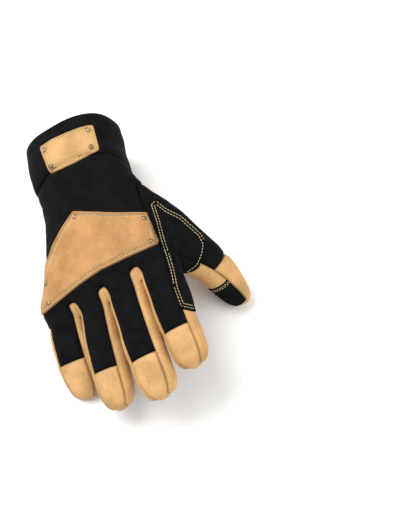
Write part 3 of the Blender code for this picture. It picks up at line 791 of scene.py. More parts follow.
# Cutting a patch from the skin: how far around its outline faces are taken, the step along lines
# that are cut in and along the rim, the longest side of an outline, and the share of the largest
# part below which another part is a scrap
CUT_MARGIN = 5 * MM
SCORE_STEP = 3 * MM
RIM_STEP = 0.2 * MM
LONGEST_SIDE = 90 * MM
SCRAP_SHARE = 0.12
# Points closer than these are one point, or lie on a cut
MERGE_REACH = 0.02 * MM
CUT_REACH = 0.01 * MM
# The saddle patch covers the fold down to this height in the hand's own frame, in millimetres, and
# faces that far below it are taken before the cut
CROTCH_LEVEL = -34.0
CROTCH_MARGIN = 5.0
# Rows of stitches: the step along an outline and along a row, how much the patch must face the
# viewer there, the jump that ends a run, the shortest run, and the gap that parts a line
OUTLINE_STEP = 0.9 * MM
STITCH_STEP = 0.8 * MM
STITCH_FACING = 0.2
STITCH_JUMP = 4 * MM
SHORTEST_RUN = 17 * MM
WIDEST_GAP = 6 * MM
# Hem of a tip patch: its rows in from the edge in millimetres, the turns about the finger in
# degrees, how far out the search for the surface starts, and how few finds are too few for a row
HEM_ROWS = (1.8, 3.4)
HEM_TURNS = range(-120, 121, 3)
HEM_REACH = 30 * MM
HEM_FEWEST = 4
# How far a tip patch reaches round the finger behind its pattern's plane
TIP_PATCH_WRAP = 12 * MM
# A stitch: share of its length, of the thread's radius, and how far it stands out, in radii. Below
# it, its sides and the share of its length under which it is left out.
STITCH_RINGS = ((0.0, 0.45, -0.9), (0.14, 0.9, -0.1), (0.5, 1.0, 0.35), (0.86, 0.9, -0.1), (1.0, 0.45, -0.9))
STITCH_SIDES = 6
SHORTEST_STITCH = 0.5
# The row of stitches beside a cap's seam: how many millimetres beyond it, and the step along it
CAP_ROW = 2.0
SEAM_STEP = 1.0 * MM

# The camera: where it looks, how far it is, and the photograph's scale and size
VIEW_DISTANCE = 1150 * MM
PIXEL = 0.83 * MM
GLOVE_PIXEL = (114.9, 305.1)
PHOTO = (400, 505)
SENSOR = 36.0
MIDDLE_HEIGHT = REST_HEIGHT


def looks():
    return bpy.context.scene.glove_looks


def seen_axes():
    """The directions right, up and towards the viewer of the side from which patterns are cut."""
    turn, rise = math.radians(VIEW_TURN), math.radians(VIEW_RISE)
    near = Vector((math.sin(turn) * math.cos(rise), -math.cos(turn) * math.cos(rise), math.sin(rise)))
    right = Vector((math.cos(turn), math.sin(turn), 0))
    return right, near.cross(right), near


class Glove:
    """The smooth padded skin in world space, with what the later pieces need from it."""

    def __init__(self):
        self.skin = build_skin()
        place = self.skin.mesh.verts.layers.float_vector.new("place")
        for vert in self.skin.mesh.verts:
            vert[place] = vert.co / MM
        self.to_world = pose()
        self.skin.mesh.transform(self.to_world)
        self.shift = self.find_shift()
        self.lay_down()
        self.to_world = Matrix.Translation(self.shift) @ self.to_world
        turn = self.to_world.to_3x3()
        self.frames = {}
        for name, end in self.skin.frames.items():
            self.frames[name] = end._replace(
                place=self.to_world @ end.place,
                heading=turn @ end.heading,
                back=turn @ end.back,
                across=turn @ end.across,
            )
        self.refine()
        self.pad()
        self.trees = {}

    def find_shift(self):
        """How far the CAD model was moved to centre it, read from the cuff, which both have."""
        panel = self.skin.mesh.faces.layers.int["panel"]
        cuff = self.skin.names.index("cuff")
        verts = {v for f in self.skin.mesh.faces if f[panel] == cuff for v in f.verts}
        low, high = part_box("cuff")
        shift = Vector()
        for axis in range(2):
            values = [vert.co[axis] for vert in verts]
            shift[axis] = (low[axis] + high[axis] - min(values) - max(values)) / 2
        return shift

    def lay_down(self):
        layer = self.skin.mesh.faces.layers.int["zone"]
        tips = {self.skin.zones[name] for name in self.skin.frames}
        for vert in self.skin.mesh.verts:
            on_patch = any(face[layer] in tips for face in vert.link_faces)
            floor = OVERLAY_GAP + PATCH_THICKNESS if on_patch else 0.0
            vert.co.z = max(vert.co.z, floor)
            vert.co += self.shift

    def refine(self):
        """Catmull-Clark subdivision of the whole skin, so that panels still meet."""
        mesh = bpy.data.meshes.new("skin")
        self.skin.mesh.to_mesh(mesh)
        helper = bpy.data.objects.new("skin", mesh)
        bpy.context.scene.collection.objects.link(helper)
        smooth = helper.modifiers.new("smooth", "SUBSURF")
        smooth.levels = smooth.render_levels = 3
        graph = bpy.context.evaluated_depsgraph_get()
        shape = helper.evaluated_get(graph)
        self.mesh = bpy.data.meshes.new_from_object(shape, preserve_all_data_layers=True, depsgraph=graph)
        bpy.data.objects.remove(helper)
        count = len(self.mesh.vertices)
        self.points = np.empty(count * 3)
        self.mesh.vertices.foreach_get("co", self.points)
        self.points = self.points.reshape(-1, 3)
        self.place = np.empty(count * 3)
        self.mesh.attributes["place"].data.foreach_get("vector", self.place)
        self.place = self.place.reshape(-1, 3)
        faces = len(self.mesh.polygons)
        self.panel = np.empty(faces, int)
        self.mesh.attributes["panel"].data.foreach_get("value", self.panel)
        self.zone = np.empty(faces, int)
        self.mesh.attributes["zone"].data.foreach_get("value", self.zone)
        self.corners = np.empty(faces * 4, int)
        self.mesh.polygons.foreach_get("vertices", self.corners)
        self.corners = self.corners.reshape(-1, 4)
        self.round_webs()

    def round_webs(self):
        """Rounds the top of each fourchette, where its seam turns, along the surface."""
        surface_tree = BVHTree.FromPolygons([Vector(p) for p in self.points], self.corners.tolist())
        sides = np.sort(np.stack([self.corners, np.roll(self.corners, -1, axis=1)], 2).reshape(-1, 2), axis=1)
        owner = np.repeat(np.arange(len(self.corners)), 4)
        order = np.lexsort((sides[:, 1], sides[:, 0]))
        sides, owner = sides[order], owner[order]
        same = (sides[1:] == sides[:-1]).all(1)
        pairs = sides[1:][same]
        first, second = self.panel[owner[:-1][same]], self.panel[owner[1:][same]]
        back = self.skin.names.index("back_panel")
        webs = [self.skin.names.index(name) for name in FOURCHETTES]
        seam = (first != second) & ((first == back) | (second == back))
        seam &= np.isin(first, webs) | np.isin(second, webs)
        line = [set() for _ in self.points]
        for a, b in pairs[seam]:
            line[a].add(b)
            line[b].add(a)
        near = [set() for _ in self.points]
        for a, b in pairs:
            near[a].add(b)
            near[b].add(a)
        moving = [i for i, ends in enumerate(line) if len(ends) == 2 and self.place[i][1] > U_REACH]
        band = set(moving)
        for _ in range(U_BAND):
            band |= {b for a in band for b in near[a]}
        band = [i for i in band if not line[i]]
        for _ in range(U_ROUNDS):
            self.relax(moving, line)
            self.relax(band, near)
        for index in (*moving, *band):
            spot = surface_tree.find_nearest(Vector(self.points[index]))[0]
            self.points[index] = spot
        self.mesh.vertices.foreach_set("co", self.points.ravel())
        self.mesh.update()

    def relax(self, moving, near):
        for values in (self.points, self.place):
            means = {i: values[list(near[i])].mean(0) for i in moving}
            for index, mean in means.items():
                values[index] += (mean - values[index]) * RELAX_SHARE

    def seam_distances(self):
        """For each point, the distance in millimetres to the nearest seam."""
        count = len(self.points)
        low = np.full(count, 99)
        high = np.full(count, -1)
        np.minimum.at(low, self.corners, self.panel[:, None])
        np.maximum.at(high, self.corners, self.panel[:, None])
        self.on_seam = low != high
        seam = np.nonzero(self.on_seam)[0]
        tree = KDTree(len(seam))
        for number, index in enumerate(seam):
            tree.insert(self.points[index], number)
        tree.balance()
        self.panel_low, self.panel_high = low, high
        return np.array([tree.find(point)[2] for point in self.points]) / MM

    def pad(self):
        """Moves the skin out between the seams, sinks the seams and adds folds and puckers."""
        distance = self.seam_distances()
        normals = np.empty(len(self.points) * 3)
        self.mesh.vertex_normals.foreach_get("vector", normals)
        normals = normals.reshape(-1, 3)
        kinds = [SOFT_PANELS[name] for name in self.skin.names]
        rise = np.array([PUFF[kind][0] for kind in kinds])
        reach = np.array([PUFF[kind][1] for kind in kinds])
        padding, sunk, folds = looks().padding, looks().seam_depth / MM, looks().folds
        owner = np.maximum(self.panel_high, 0)
        out = rise[owner] * padding * (1 - np.exp(-distance / reach[owner]))
        out -= sunk * np.exp(-((distance / SEAM_HALF_WIDTH) ** 2))
        dent_size, dent_depth = DENT
        fold_size, fold_depth = FOLD
        pucker_size, pucker_depth, pucker_reach = PUCKER
        rough = np.empty(len(out))
        for index, spot in enumerate(self.place):
            here = Vector(spot)
            across = Vector((here.x * FOLD_STRETCH.x, here.y * FOLD_STRETCH.y, here.z * FOLD_STRETCH.z))
            rough[index] = dent_depth * noise.noise(here / dent_size + NOISE_SEED)
            rough[index] += fold_depth * noise.noise(across / fold_size - NOISE_SEED)
            near_seam = math.exp(-distance[index] / pucker_reach)
            rough[index] += pucker_depth * near_seam * noise.noise(here / pucker_size)
        calm, calm_reach = SEAM_CALM
        out += rough * folds * (1 - calm * np.exp(-distance / calm_reach))
        out += self.named_folds() * folds
        self.points = self.points + normals * (out * MM)[:, None]
        self.points[:, 2] = np.maximum(self.points[:, 2], 0.0)
        self.mesh.vertices.foreach_set("co", self.points.ravel())
        self.seam = distance
        turn = np.array(self.to_world.to_3x3())
        facing = -(normals @ turn)[:, 2]
        on_hand = np.clip((self.place[:, 1] - HAND_START) / HAND_FADE, 0, 1)
        self.palm = np.clip((facing - TREAD_FACING) / TREAD_FADE + on_hand * HAND_TREAD, 0, 1)
        self.mesh.update()

    def named_folds(self):
        """The folds on the back that the photograph shows, as heights in millimetres."""
        total = np.zeros(len(self.place))
        above = self.place[:, 2] > FOLDS_ABOVE
        for fold in BACK_FOLDS:
            start, end = np.array(fold.start, float), np.array(fold.end, float)
            way = end - start
            share = np.clip(((self.place[:, :2] - start) @ way) / (way @ way), 0, 1)
            gap = np.linalg.norm(self.place[:, :2] - start - share[:, None] * way, axis=1)
            fade = np.sin(math.pi * np.clip(share, *FOLD_ENDS)) ** 0.5
            total += fold.depth * fade * np.exp(-((gap / fold.width) ** 2)) * above
        return total

    def tree(self, key, chosen):
        """A search tree over the faces that the mask chooses, kept under a name."""
        if key not in self.trees:
            quads = self.corners[chosen]
            used, index = np.unique(quads, return_inverse=True)
            points = [Vector(p) for p in self.points[used]]
            self.trees[key] = BVHTree.FromPolygons(points, index.reshape(-1, 4).tolist())
        return self.trees[key]

    def panel_tree(self, *names):
        numbers = [self.skin.names.index(name) for name in names]
        return self.tree(names, np.isin(self.panel, numbers))


GLOVE = {}


def glove():
    if "skin" not in GLOVE:
        GLOVE["skin"] = Glove()
    return GLOVE["skin"]


def add_piece(name, mesh, material, replaced=()):
    """Puts a finished mesh into the scene as a piece of the glove."""
    obj = bpy.data.objects.new(name, mesh)
    bpy.context.scene.collection.objects.link(obj)
    mesh.materials.append(material)
    mesh.polygons.foreach_set("use_smooth", [True] * len(mesh.polygons))
    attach(obj, "root")
    if replaced:
        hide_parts(*replaced)
    return obj


def mesh_from(name, points, faces):
    mesh = bpy.data.meshes.new(name)
    mesh.from_pydata([tuple(p) for p in points], [], [tuple(f) for f in faces])
    mesh.validate()
    return mesh


def group_tree(name, inputs, outputs):
    """A new shader node group with its sockets, its input node and its output node."""
    tree = bpy.data.node_groups.new(name, "ShaderNodeTree")
    for label, kind, default in inputs:
        socket = tree.interface.new_socket(name=label, in_out="INPUT", socket_type=kind)
        if default is not None:
            socket.default_value = default
    for label, kind in outputs:
        tree.interface.new_socket(name=label, in_out="OUTPUT", socket_type=kind)
    return tree, tree.nodes.new("NodeGroupInput"), tree.nodes.new("NodeGroupOutput")


def calc(tree, operation, *values):
    """A math node on sockets or numbers. Returns its output."""
    node = tree.nodes.new("ShaderNodeMath")
    node.operation = operation
    for socket, value in zip(node.inputs, values):
        if isinstance(value, (int, float)):
            socket.default_value = value
        else:
            tree.links.new(value, socket)
    return node.outputs[0]


def spread(tree, value, low, high, to_low=0.0, to_high=1.0):
    """A smooth map of the value from one range to another."""
    node = tree.nodes.new("ShaderNodeMapRange")
    node.interpolation_type = "SMOOTHSTEP"
    for number, item in enumerate((low, high, to_low, to_high), 1):
        node.inputs[number].default_value = item
    tree.links.new(value, node.inputs[0])
    return node.outputs[0]


def noise_value(tree, vector, scale, detail=3.0):
    node = tree.nodes.new("ShaderNodeTexNoise")
    node.inputs["Scale"].default_value = scale
    node.inputs["Detail"].default_value = detail
    tree.links.new(vector, node.inputs["Vector"])
    return node.outputs["Fac"]


def cell_value(tree, vector, scale, feature="SMOOTH_F1"):
    node = tree.nodes.new("ShaderNodeTexVoronoi")
    node.feature = feature
    node.inputs["Scale"].default_value = scale
    tree.links.new(vector, node.inputs["Vector"])
    return node.outputs["Distance"]


# How round the lozenges of the tread are
LOZENGE_ROUNDING = 1.6
# Every surface: its darkest and palest shade, how far its roughness strays, how strong its relief is
SHADES = (0.72, 1.12)
ROUGHNESS_SPREAD = 0.08
RELIEF_STRENGTH = 0.8
# Painted shade along seams, partly wear: how far it reaches in millimetres, and how dark it is
SEAM_WEAR_AND_PAINTED_SHADE_REACH = 2.4
SEAM_WEAR_AND_PAINTED_SHADE_DARKNESS = 0.25


def grain_group():
    """Leather: fine pebbles with pores for the height, and soft patches of shade."""
    tree, start, end = group_tree(
        "leather_grain",
        [("Place", "NodeSocketVector", None)],
        [("Height", "NodeSocketFloat"), ("Mottle", "NodeSocketFloat")],
    )
    place = start.outputs["Place"]
    pebbles = cell_value(tree, place, 0.85)
    pores = noise_value(tree, place, 2.6, 4.0)
    creases = noise_value(tree, place, 0.22, 5.0)
    height = calc(tree, "ADD", calc(tree, "MULTIPLY", pebbles, -0.7), calc(tree, "MULTIPLY", pores, 0.5))
    tree.links.new(calc(tree, "ADD", height, calc(tree, "MULTIPLY", creases, 0.9)), end.inputs["Height"])
    broad = noise_value(tree, place, 0.05, 4.0)
    fine = noise_value(tree, place, 0.7, 3.0)
    shade = calc(tree, "ADD", calc(tree, "MULTIPLY", broad, 0.65), calc(tree, "MULTIPLY", fine, 0.35))
    tree.links.new(shade, end.inputs["Mottle"])
    return tree


def weave_group():
    """Stretch fabric: a fine diagonal rib with some fuzz."""
    tree, start, end = group_tree(
        "fabric_weave",
        [("Place", "NodeSocketVector", None), ("Pitch", "NodeSocketFloat", 0.9)],
        [("Height", "NodeSocketFloat"), ("Mottle", "NodeSocketFloat")],
    )
    split = tree.nodes.new("ShaderNodeSeparateXYZ")
    tree.links.new(start.outputs["Place"], split.inputs[0])
    turns = calc(tree, "DIVIDE", math.tau, start.outputs["Pitch"])
    side = calc(tree, "ADD", split.outputs["X"], split.outputs["Z"])
    across = calc(tree, "SINE", calc(tree, "MULTIPLY", side, turns))
    along = calc(tree, "SINE", calc(tree, "MULTIPLY", split.outputs["Y"], turns))
    ribs = calc(tree, "MULTIPLY", across, along)
    fuzz = noise_value(tree, start.outputs["Place"], 1.6, 5.0)
    height = calc(tree, "ADD", calc(tree, "MULTIPLY", ribs, 0.4), fuzz)
    tree.links.new(height, end.inputs["Height"])
    tree.links.new(noise_value(tree, start.outputs["Place"], 0.09, 4.0), end.inputs["Mottle"])
    return tree


def tread_group():
    """Raised lozenges that lie crosswise in turn, as on chequer plate."""
    tree, start, end = group_tree(
        "tread",
        [
            ("Place", "NodeSocketVector", None),
            ("Pitch", "NodeSocketFloat", 7.8),
            ("Long", "NodeSocketFloat", 4.1),
            ("Short", "NodeSocketFloat", 1.7),
        ],
        [("Mask", "NodeSocketFloat")],
    )
    split = tree.nodes.new("ShaderNodeSeparateXYZ")
    tree.links.new(start.outputs["Place"], split.inputs[0])
    cells = []
    offsets = []
    for axis in ("X", "Y"):
        shifted = calc(tree, "DIVIDE", split.outputs[axis], start.outputs["Pitch"])
        cell = calc(tree, "FLOOR", shifted)
        cells.append(cell)
        middle = calc(tree, "SUBTRACT", calc(tree, "SUBTRACT", shifted, cell), 0.5)
        offsets.append(calc(tree, "MULTIPLY", middle, start.outputs["Pitch"]))
    turned = calc(tree, "FLOORED_MODULO", calc(tree, "ADD", *cells), 2.0)
    first = calc(tree, "MULTIPLY", calc(tree, "ADD", *offsets), math.sqrt(0.5))
    second = calc(tree, "MULTIPLY", calc(tree, "SUBTRACT", *offsets), math.sqrt(0.5))
    long_way = calc(tree, "ADD", calc(tree, "MULTIPLY", first, calc(tree, "SUBTRACT", 1.0, turned)),
                    calc(tree, "MULTIPLY", second, turned))
    short_way = calc(tree, "ADD", calc(tree, "MULTIPLY", second, calc(tree, "SUBTRACT", 1.0, turned)),
                     calc(tree, "MULTIPLY", first, turned))
    long_share = calc(tree, "DIVIDE", calc(tree, "ABSOLUTE", long_way), start.outputs["Long"])
    a = calc(tree, "POWER", long_share, LOZENGE_ROUNDING)
    short_share = calc(tree, "DIVIDE", calc(tree, "ABSOLUTE", short_way), start.outputs["Short"])
    b = calc(tree, "POWER", short_share, LOZENGE_ROUNDING)
    tree.links.new(spread(tree, calc(tree, "ADD", a, b), 1.0, 0.7), end.inputs["Mask"])
    return tree


def grip_group():
    """Coarse grip surface: a dense field of small bumps."""
    tree, start, end = group_tree(
        "grip",
        [("Place", "NodeSocketVector", None)],
        [("Height", "NodeSocketFloat"), ("Mottle", "NodeSocketFloat")],
    )
    bumps = cell_value(tree, start.outputs["Place"], 0.55, "F1")
    rough = noise_value(tree, start.outputs["Place"], 1.8, 5.0)
    height = calc(tree, "ADD", calc(tree, "MULTIPLY", bumps, -1.0), calc(tree, "MULTIPLY", rough, 0.6))
    tree.links.new(height, end.inputs["Height"])
    tree.links.new(noise_value(tree, start.outputs["Place"], 0.12, 4.0), end.inputs["Mottle"])
    return tree


GROUPS = {"grain": grain_group, "weave": weave_group, "tread": tread_group, "grip": grip_group}


def group(name):
    key = "glove_" + name
    if key not in bpy.data.node_groups:
        tree = GROUPS[name]()
        tree.name = key
    return bpy.data.node_groups[key]


def add_group(tree, name, place):
    node = tree.nodes.new("ShaderNodeGroup")
    node.node_tree = group(name)
    tree.links.new(place, node.inputs["Place"])
    return node


def mix(tree, factor, a, b):
    node = tree.nodes.new("ShaderNodeMix")
    node.data_type = "RGBA"
    for socket, value in ((node.inputs[0], factor), (node.inputs[6], a), (node.inputs[7], b)):
        if isinstance(value, (int, float)):
            socket.default_value = value
        elif isinstance(value, bpy.types.NodeSocket):
            tree.links.new(value, socket)
        else:
            socket.default_value = (*value[:3], 1)
    return node.outputs[2]


def surface(
    name, colour, texture, depth, roughness, sheen=0.0, seam_wear_and_painted_shade=0.35, tread=None, metallic=0.0, shine=0.25
):
    """A material with a procedural texture that is drawn in the glove's own frame in millimetres, darkened
    near seams by painted shade, partly wear.
    """
    if name in bpy.data.materials:
        return bpy.data.materials[name]
    material = bpy.data.materials.new(name)
    material.use_nodes = True
    tree = material.node_tree
    shader = tree.nodes["Principled BSDF"]
    source = tree.nodes.new("ShaderNodeAttribute")
    source.attribute_name = "place"
    place = source.outputs["Vector"]
    texture_node = add_group(tree, texture, place)
    height, mottle = texture_node.outputs["Height"], texture_node.outputs["Mottle"]
    darkest, palest = SHADES
    dark = tuple(c * darkest for c in colour[:3])
    pale = tuple(min(1.0, c * palest) for c in colour[:3])
    shade = mix(tree, spread(tree, mottle, 0.3, 0.7), dark, pale)
    if tread:
        side = tree.nodes.new("ShaderNodeAttribute")
        side.attribute_name = "palm"
        mask = calc(tree, "MULTIPLY", add_group(tree, "tread", place).outputs["Mask"], side.outputs["Fac"])
        shade = mix(tree, mask, shade, tread)
        height = calc(tree, "ADD", height, calc(tree, "MULTIPLY", mask, looks().tread_height / depth))
    # Darker colour near seams and stitch rows: painted shade of the sunk seams, partly wear
    if seam_wear_and_painted_shade:
        seam = tree.nodes.new("ShaderNodeAttribute")
        seam.attribute_name = "seam"
        near = spread(tree, seam.outputs["Fac"], 0.0, SEAM_WEAR_AND_PAINTED_SHADE_REACH, seam_wear_and_painted_shade, 0.0)
        shade = mix(tree, near, shade, tuple(c * SEAM_WEAR_AND_PAINTED_SHADE_DARKNESS for c in colour[:3]))
    tree.links.new(shade, shader.inputs["Base Color"])
    bump = tree.nodes.new("ShaderNodeBump")
    bump.inputs["Strength"].default_value = RELIEF_STRENGTH
    bump.inputs["Distance"].default_value = depth
    tree.links.new(height, bump.inputs["Height"])
    tree.links.new(bump.outputs["Normal"], shader.inputs["Normal"])
    matt, shiny = roughness + ROUGHNESS_SPREAD, roughness - ROUGHNESS_SPREAD
    tree.links.new(spread(tree, mottle, 0.2, 0.8, matt, shiny), shader.inputs["Roughness"])
    shader.inputs["Metallic"].default_value = metallic
    shader.inputs["Sheen Weight"].default_value = sheen
    shader.inputs["Specular IOR Level"].default_value = shine
    return material


def materials():
    """The glove's materials by name."""
    p = looks()
    return {
        "fabric": surface("black_stretch_fabric", p.black, "weave", 0.12 * MM, 0.8, sheen=0.004, shine=0.05),
        "leather": surface("tan_grain_leather", p.tan, "grain", 0.16 * MM, 0.62),
        "tread": surface("palm_tread_leather", p.palm, "grain", 0.16 * MM, 0.62, tread=p.tread),
        "lining": surface("fleece_lining", p.lining, "weave", 0.3 * MM, 0.95, sheen=0.1, seam_wear_and_painted_shade=0.0),
        "shield": surface("shield_leather", p.shield, "grain", 0.16 * MM, 0.60, seam_wear_and_painted_shade=0.5),
        "badge": surface("badge_leather", p.badge, "grain", 0.10 * MM, 0.62, seam_wear_and_painted_shade=0.3),
        "grip": surface("coarse_black_grip", p.grip, "grip", 0.2 * MM, 0.85, seam_wear_and_painted_shade=0.3, shine=0.05),
        "thread": surface("pale_thread", p.thread, "grip", 0.05 * MM, 0.75, seam_wear_and_painted_shade=0.0),
        "brass": surface("antique_brass", p.brass, "grip", 0.03 * MM, 0.38, seam_wear_and_painted_shade=0.0, metallic=1.0),
    }


def mark_place(mesh, to_local, seam=None):
    """Stores each point's place in the glove's own frame, in millimetres, for the textures."""
    layer = mesh.attributes.new("place", "FLOAT_VECTOR", "POINT")
    for item, vert in zip(layer.data, mesh.vertices):
        item.vector = (to_local @ vert.co) / MM
    # The seam distance darkens the colour near seams: painted shade, partly wear
    layer = mesh.attributes.new("seam", "FLOAT", "POINT")
    layer.data.foreach_set("value", seam if seam is not None else [99.0] * len(mesh.vertices))


def add_panel(name):
    """One sewn panel of the padded skin, as thick as its wall."""
    g = glove()
    kind = SOFT_PANELS[name]
    chosen = g.panel == g.skin.names.index(name)
    used, index = np.unique(g.corners[chosen], return_inverse=True)
    mesh = mesh_from(name + "_soft", g.points[used], index.reshape(-1, 4))
    layer = mesh.attributes.new("place", "FLOAT_VECTOR", "POINT")
    layer.data.foreach_set("vector", g.place[used].ravel())
    for label, values in (("seam", g.seam), ("palm", g.palm)):
        layer = mesh.attributes.new(label, "FLOAT", "POINT")
        layer.data.foreach_set("value", values[used])
    obj = add_piece(name + "_soft", mesh, materials()[kind], [name])
    mesh.materials.append(materials()["lining"])
    wall = obj.modifiers.new("wall", "SOLIDIFY")
    wall.thickness = FABRIC_WALL if name in FABRIC_PANELS else LEATHER_WALL
    wall.offset = -1
    wall.material_offset = 1
    return obj


def resample(points, step, closed=False):
    """Points at even steps along a line."""
    points = np.array(points, float)
    if closed:
        points = np.vstack([points, points[:1]])
    lengths = np.linalg.norm(np.diff(points, axis=0), axis=1)
    along = np.concatenate([[0], np.cumsum(lengths)])
    count = max(2, int(round(along[-1] / step)))
    places = np.linspace(0, along[-1], count + 1)
    if closed:
        places = places[:-1]
    return np.stack([np.interp(places, along, points[:, k]) for k in range(points.shape[1])], 1)


def edge_distance(points, outline):
    """Distance of each 2-D point from a closed outline."""
    a, b = outline, np.roll(outline, -1, axis=0)
    way = b - a
    share = ((points[:, None, :] - a) * way).sum(2) / (way**2).sum(1)
    nearest = a + np.clip(share, 0, 1)[:, :, None] * way
    return np.linalg.norm(points[:, None, :] - nearest, axis=2).min(1)


def inside(points, outline):
    a, b = outline, np.roll(outline, -1, axis=0)
    x, y = points[:, :1], points[:, 1:]
    crosses = (a[:, 1] > y) != (b[:, 1] > y)
    reach = a[:, 0] + (y - a[:, 1]) / (b[:, 1] - a[:, 1] + 1e-15) * (b[:, 0] - a[:, 0])
    return (crosses & (x < reach)).sum(1) % 2 == 1


def inset(outline, distance):
    """The points a distance inside a closed outline, in order, without those that fold over."""
    way = np.roll(outline, -1, axis=0) - np.roll(outline, 1, axis=0)
    normal = np.stack([-way[:, 1], way[:, 0]], 1) / np.linalg.norm(way, axis=1)[:, None]
    area = (outline[:, 0] * np.roll(outline[:, 1], -1) - np.roll(outline[:, 0], -1) * outline[:, 1]).sum()
    moved = outline + normal * distance * (1 if area > 0 else -1)
    good = (edge_distance(moved, outline) > distance * 0.97) & inside(moved, outline)
    return moved[good]


class Plane:
    """Where a pattern's plane lies: its middle, its two directions and the way towards the viewer."""

    def __init__(self, place, across, up, towards):
        self.place, self.across, self.up, self.towards = place, across, up, towards


def patch_height(edge, thickness, stitches):
    """How far a patch stands out at a distance in millimetres from its edge."""
    radius = EDGE_RADIUS / MM
    roll = np.sqrt(1 - (1 - np.minimum(edge / radius, 1)) ** 2)
    height = thickness / MM * roll + PATCH_PILLOW / MM * (1 - np.exp(-edge / PILLOW_REACH)) * roll
    depth, width = STITCH_GROOVE
    for row in stitches:
        height -= depth * np.exp(-(((edge - row) / width) ** 2))
    return np.maximum(height, 0) * MM


def add_patch(node, outline, plane, chosen, sizes, material, stitches):
    """A sewn-on patch cut from the padded skin itself along its pattern, as seen from its plane."""
    first, last, thickness = sizes
    g = glove()
    axes = np.array([plane.across, plane.up, plane.towards])
    part = bmesh.new()
    seen = (g.points - np.array(plane.place)) @ axes.T
    low, high = outline.min(0), outline.max(0)
    spots = seen[g.corners].mean(1)
    near = chosen & (spots[:, 2] > first) & (spots[:, 2] < last)
    for axis in range(2):
        near &= (spots[:, axis] > low[axis] - CUT_MARGIN) & (spots[:, axis] < high[axis] + CUT_MARGIN)
    quads = g.corners[near]
    used, index = np.unique(quads, return_inverse=True)
    verts = [part.verts.new(spot) for spot in g.points[used]]
    for quad in index.reshape(-1, 4):
        part.faces.new([verts[i] for i in quad])
    drop_scraps(part)
    cut_at_level(part, CROTCH_LEVEL, node == SADDLE.name)
    keep_inside(part, plane, axes, outline)
    drop_scraps(part)
    for ring in (*RIM_RINGS, *stitches):
        line = inset(resample(outline, SCORE_STEP, closed=True), ring * MM)
        score(part, plane, axes, line, SCORE_STEP * 2)
    bmesh.ops.remove_doubles(part, verts=part.verts[:], dist=MERGE_REACH)
    bmesh.ops.dissolve_degenerate(part, edges=part.edges[:], dist=CUT_REACH)
    bmesh.ops.triangulate(part, faces=part.faces[:])
    part.normal_update()
    mesh, edge = closed_sheet(node + "_sewn", part, thickness, stitches)
    part.free()
    # The gap to the edge and to the stitch rows darkens the patch there: painted shade, partly wear
    row_gap = np.min([np.abs(edge - row) for row in (0, *stitches)], axis=0) * 2
    mark_place(mesh, g.to_world.inverted(), row_gap)
    return add_piece(node + "_sewn", mesh, material, [node])


def cut_at_level(part, level, clear):
    """Cuts a surface at a height in the hand's own frame, and can clear what lies below."""
    to_world = glove().to_world
    bmesh.ops.bisect_plane(
        part,
        geom=part.verts[:] + part.edges[:] + part.faces[:],
        dist=CUT_REACH,
        plane_co=to_world @ Vector((0, 0, level * MM)),
        plane_no=-(to_world.to_3x3() @ Vector((0, 0, 1))),
        clear_outer=clear,
    )


def score(part, plane, axes, line, longest):
    """Cuts the faces of a surface along a closed line that the viewer sees, without parting them."""
    across, up, place = Vector(axes[0]), Vector(axes[1]), Vector(plane.place)

    def box(face):
        spots = [vert.co - place for vert in face.verts]
        xs, ys = [across.dot(spot) for spot in spots], [up.dot(spot) for spot in spots]
        return min(xs), max(xs), min(ys), max(ys)

    boxes = {face: box(face) for face in part.faces}
    for start, end in zip(line, np.roll(line, -1, axis=0)):
        way = end - start
        if not 1e-6 < np.hypot(*way) < longest:
            continue
        (left, low), (right, high) = np.minimum(start, end).tolist(), np.maximum(start, end).tolist()
        faces = [
            face
            for face, (a, b, c, d) in boxes.items()
            if b >= left and a <= right and d >= low and c <= high
        ]
        if not faces:
            continue
        geom = set(faces)
        for face in faces:
            geom.update(face.edges)
            geom.update(face.verts)
        spot = place + across * start[0] + up * start[1]
        normal = (across * way[0] + up * way[1]).cross(plane.towards).normalized()
        made = bmesh.ops.bisect_plane(part, geom=list(geom), dist=1e-7, plane_co=spot, plane_no=normal)
        for item in made["geom"]:
            if isinstance(item, bmesh.types.BMFace):
                boxes[item] = box(item)


def keep_inside(part, plane, axes, outline):
    """Cuts a surface along an outline that the viewer sees and removes what lies outside it."""
    score(part, plane, axes, outline, LONGEST_SIDE)
    faces = part.faces[:]
    middles = np.array([tuple(face.calc_center_median()) for face in faces])
    flat = (middles - np.array(plane.place)) @ axes[:2].T
    outside = [face for face, kept in zip(faces, inside(flat, outline)) if not kept]
    bmesh.ops.delete(part, geom=outside, context="FACES")


def closed_sheet(name, part, thickness, stitches):
    """Thickens a surface with a rolled edge. Returns the mesh and each point's distance from the edge."""
    rim = []
    for side in part.edges:
        if side.is_boundary:
            a, b = (vert.co for vert in side.verts)
            parts = 1 + int((b - a).length / RIM_STEP)
            rim += [a.lerp(b, step / parts) for step in range(parts + 1)]
    tree = KDTree(len(rim))
    for number, spot in enumerate(rim):
        tree.insert(spot, number)
    tree.balance()
    part.verts.index_update()
    count = len(part.verts)
    edge = np.array([tree.find(vert.co)[2] for vert in part.verts]) / MM
    height = patch_height(edge, thickness, stitches)
    low = [vert.co - vert.normal * PATCH_SINK for vert in part.verts]
    high = [vert.co + vert.normal * (rise + PATCH_LIFT) for vert, rise in zip(part.verts, height)]
    faces = []
    for face in part.faces:
        ring = [vert.index for vert in face.verts]
        faces.append([index + count for index in ring])
        faces.append(ring[::-1])
    for side in part.edges:
        if side.is_boundary:
            loop = side.link_loops[0]
            a, b = loop.vert.index, loop.link_loop_next.vert.index
            faces.append((a, b, b + count, a + count))
    points = np.array([tuple(point) for point in low + high])
    points[:, 2] = np.maximum(points[:, 2], 0.0)
    return mesh_from(name, points, faces), np.concatenate([edge, edge])


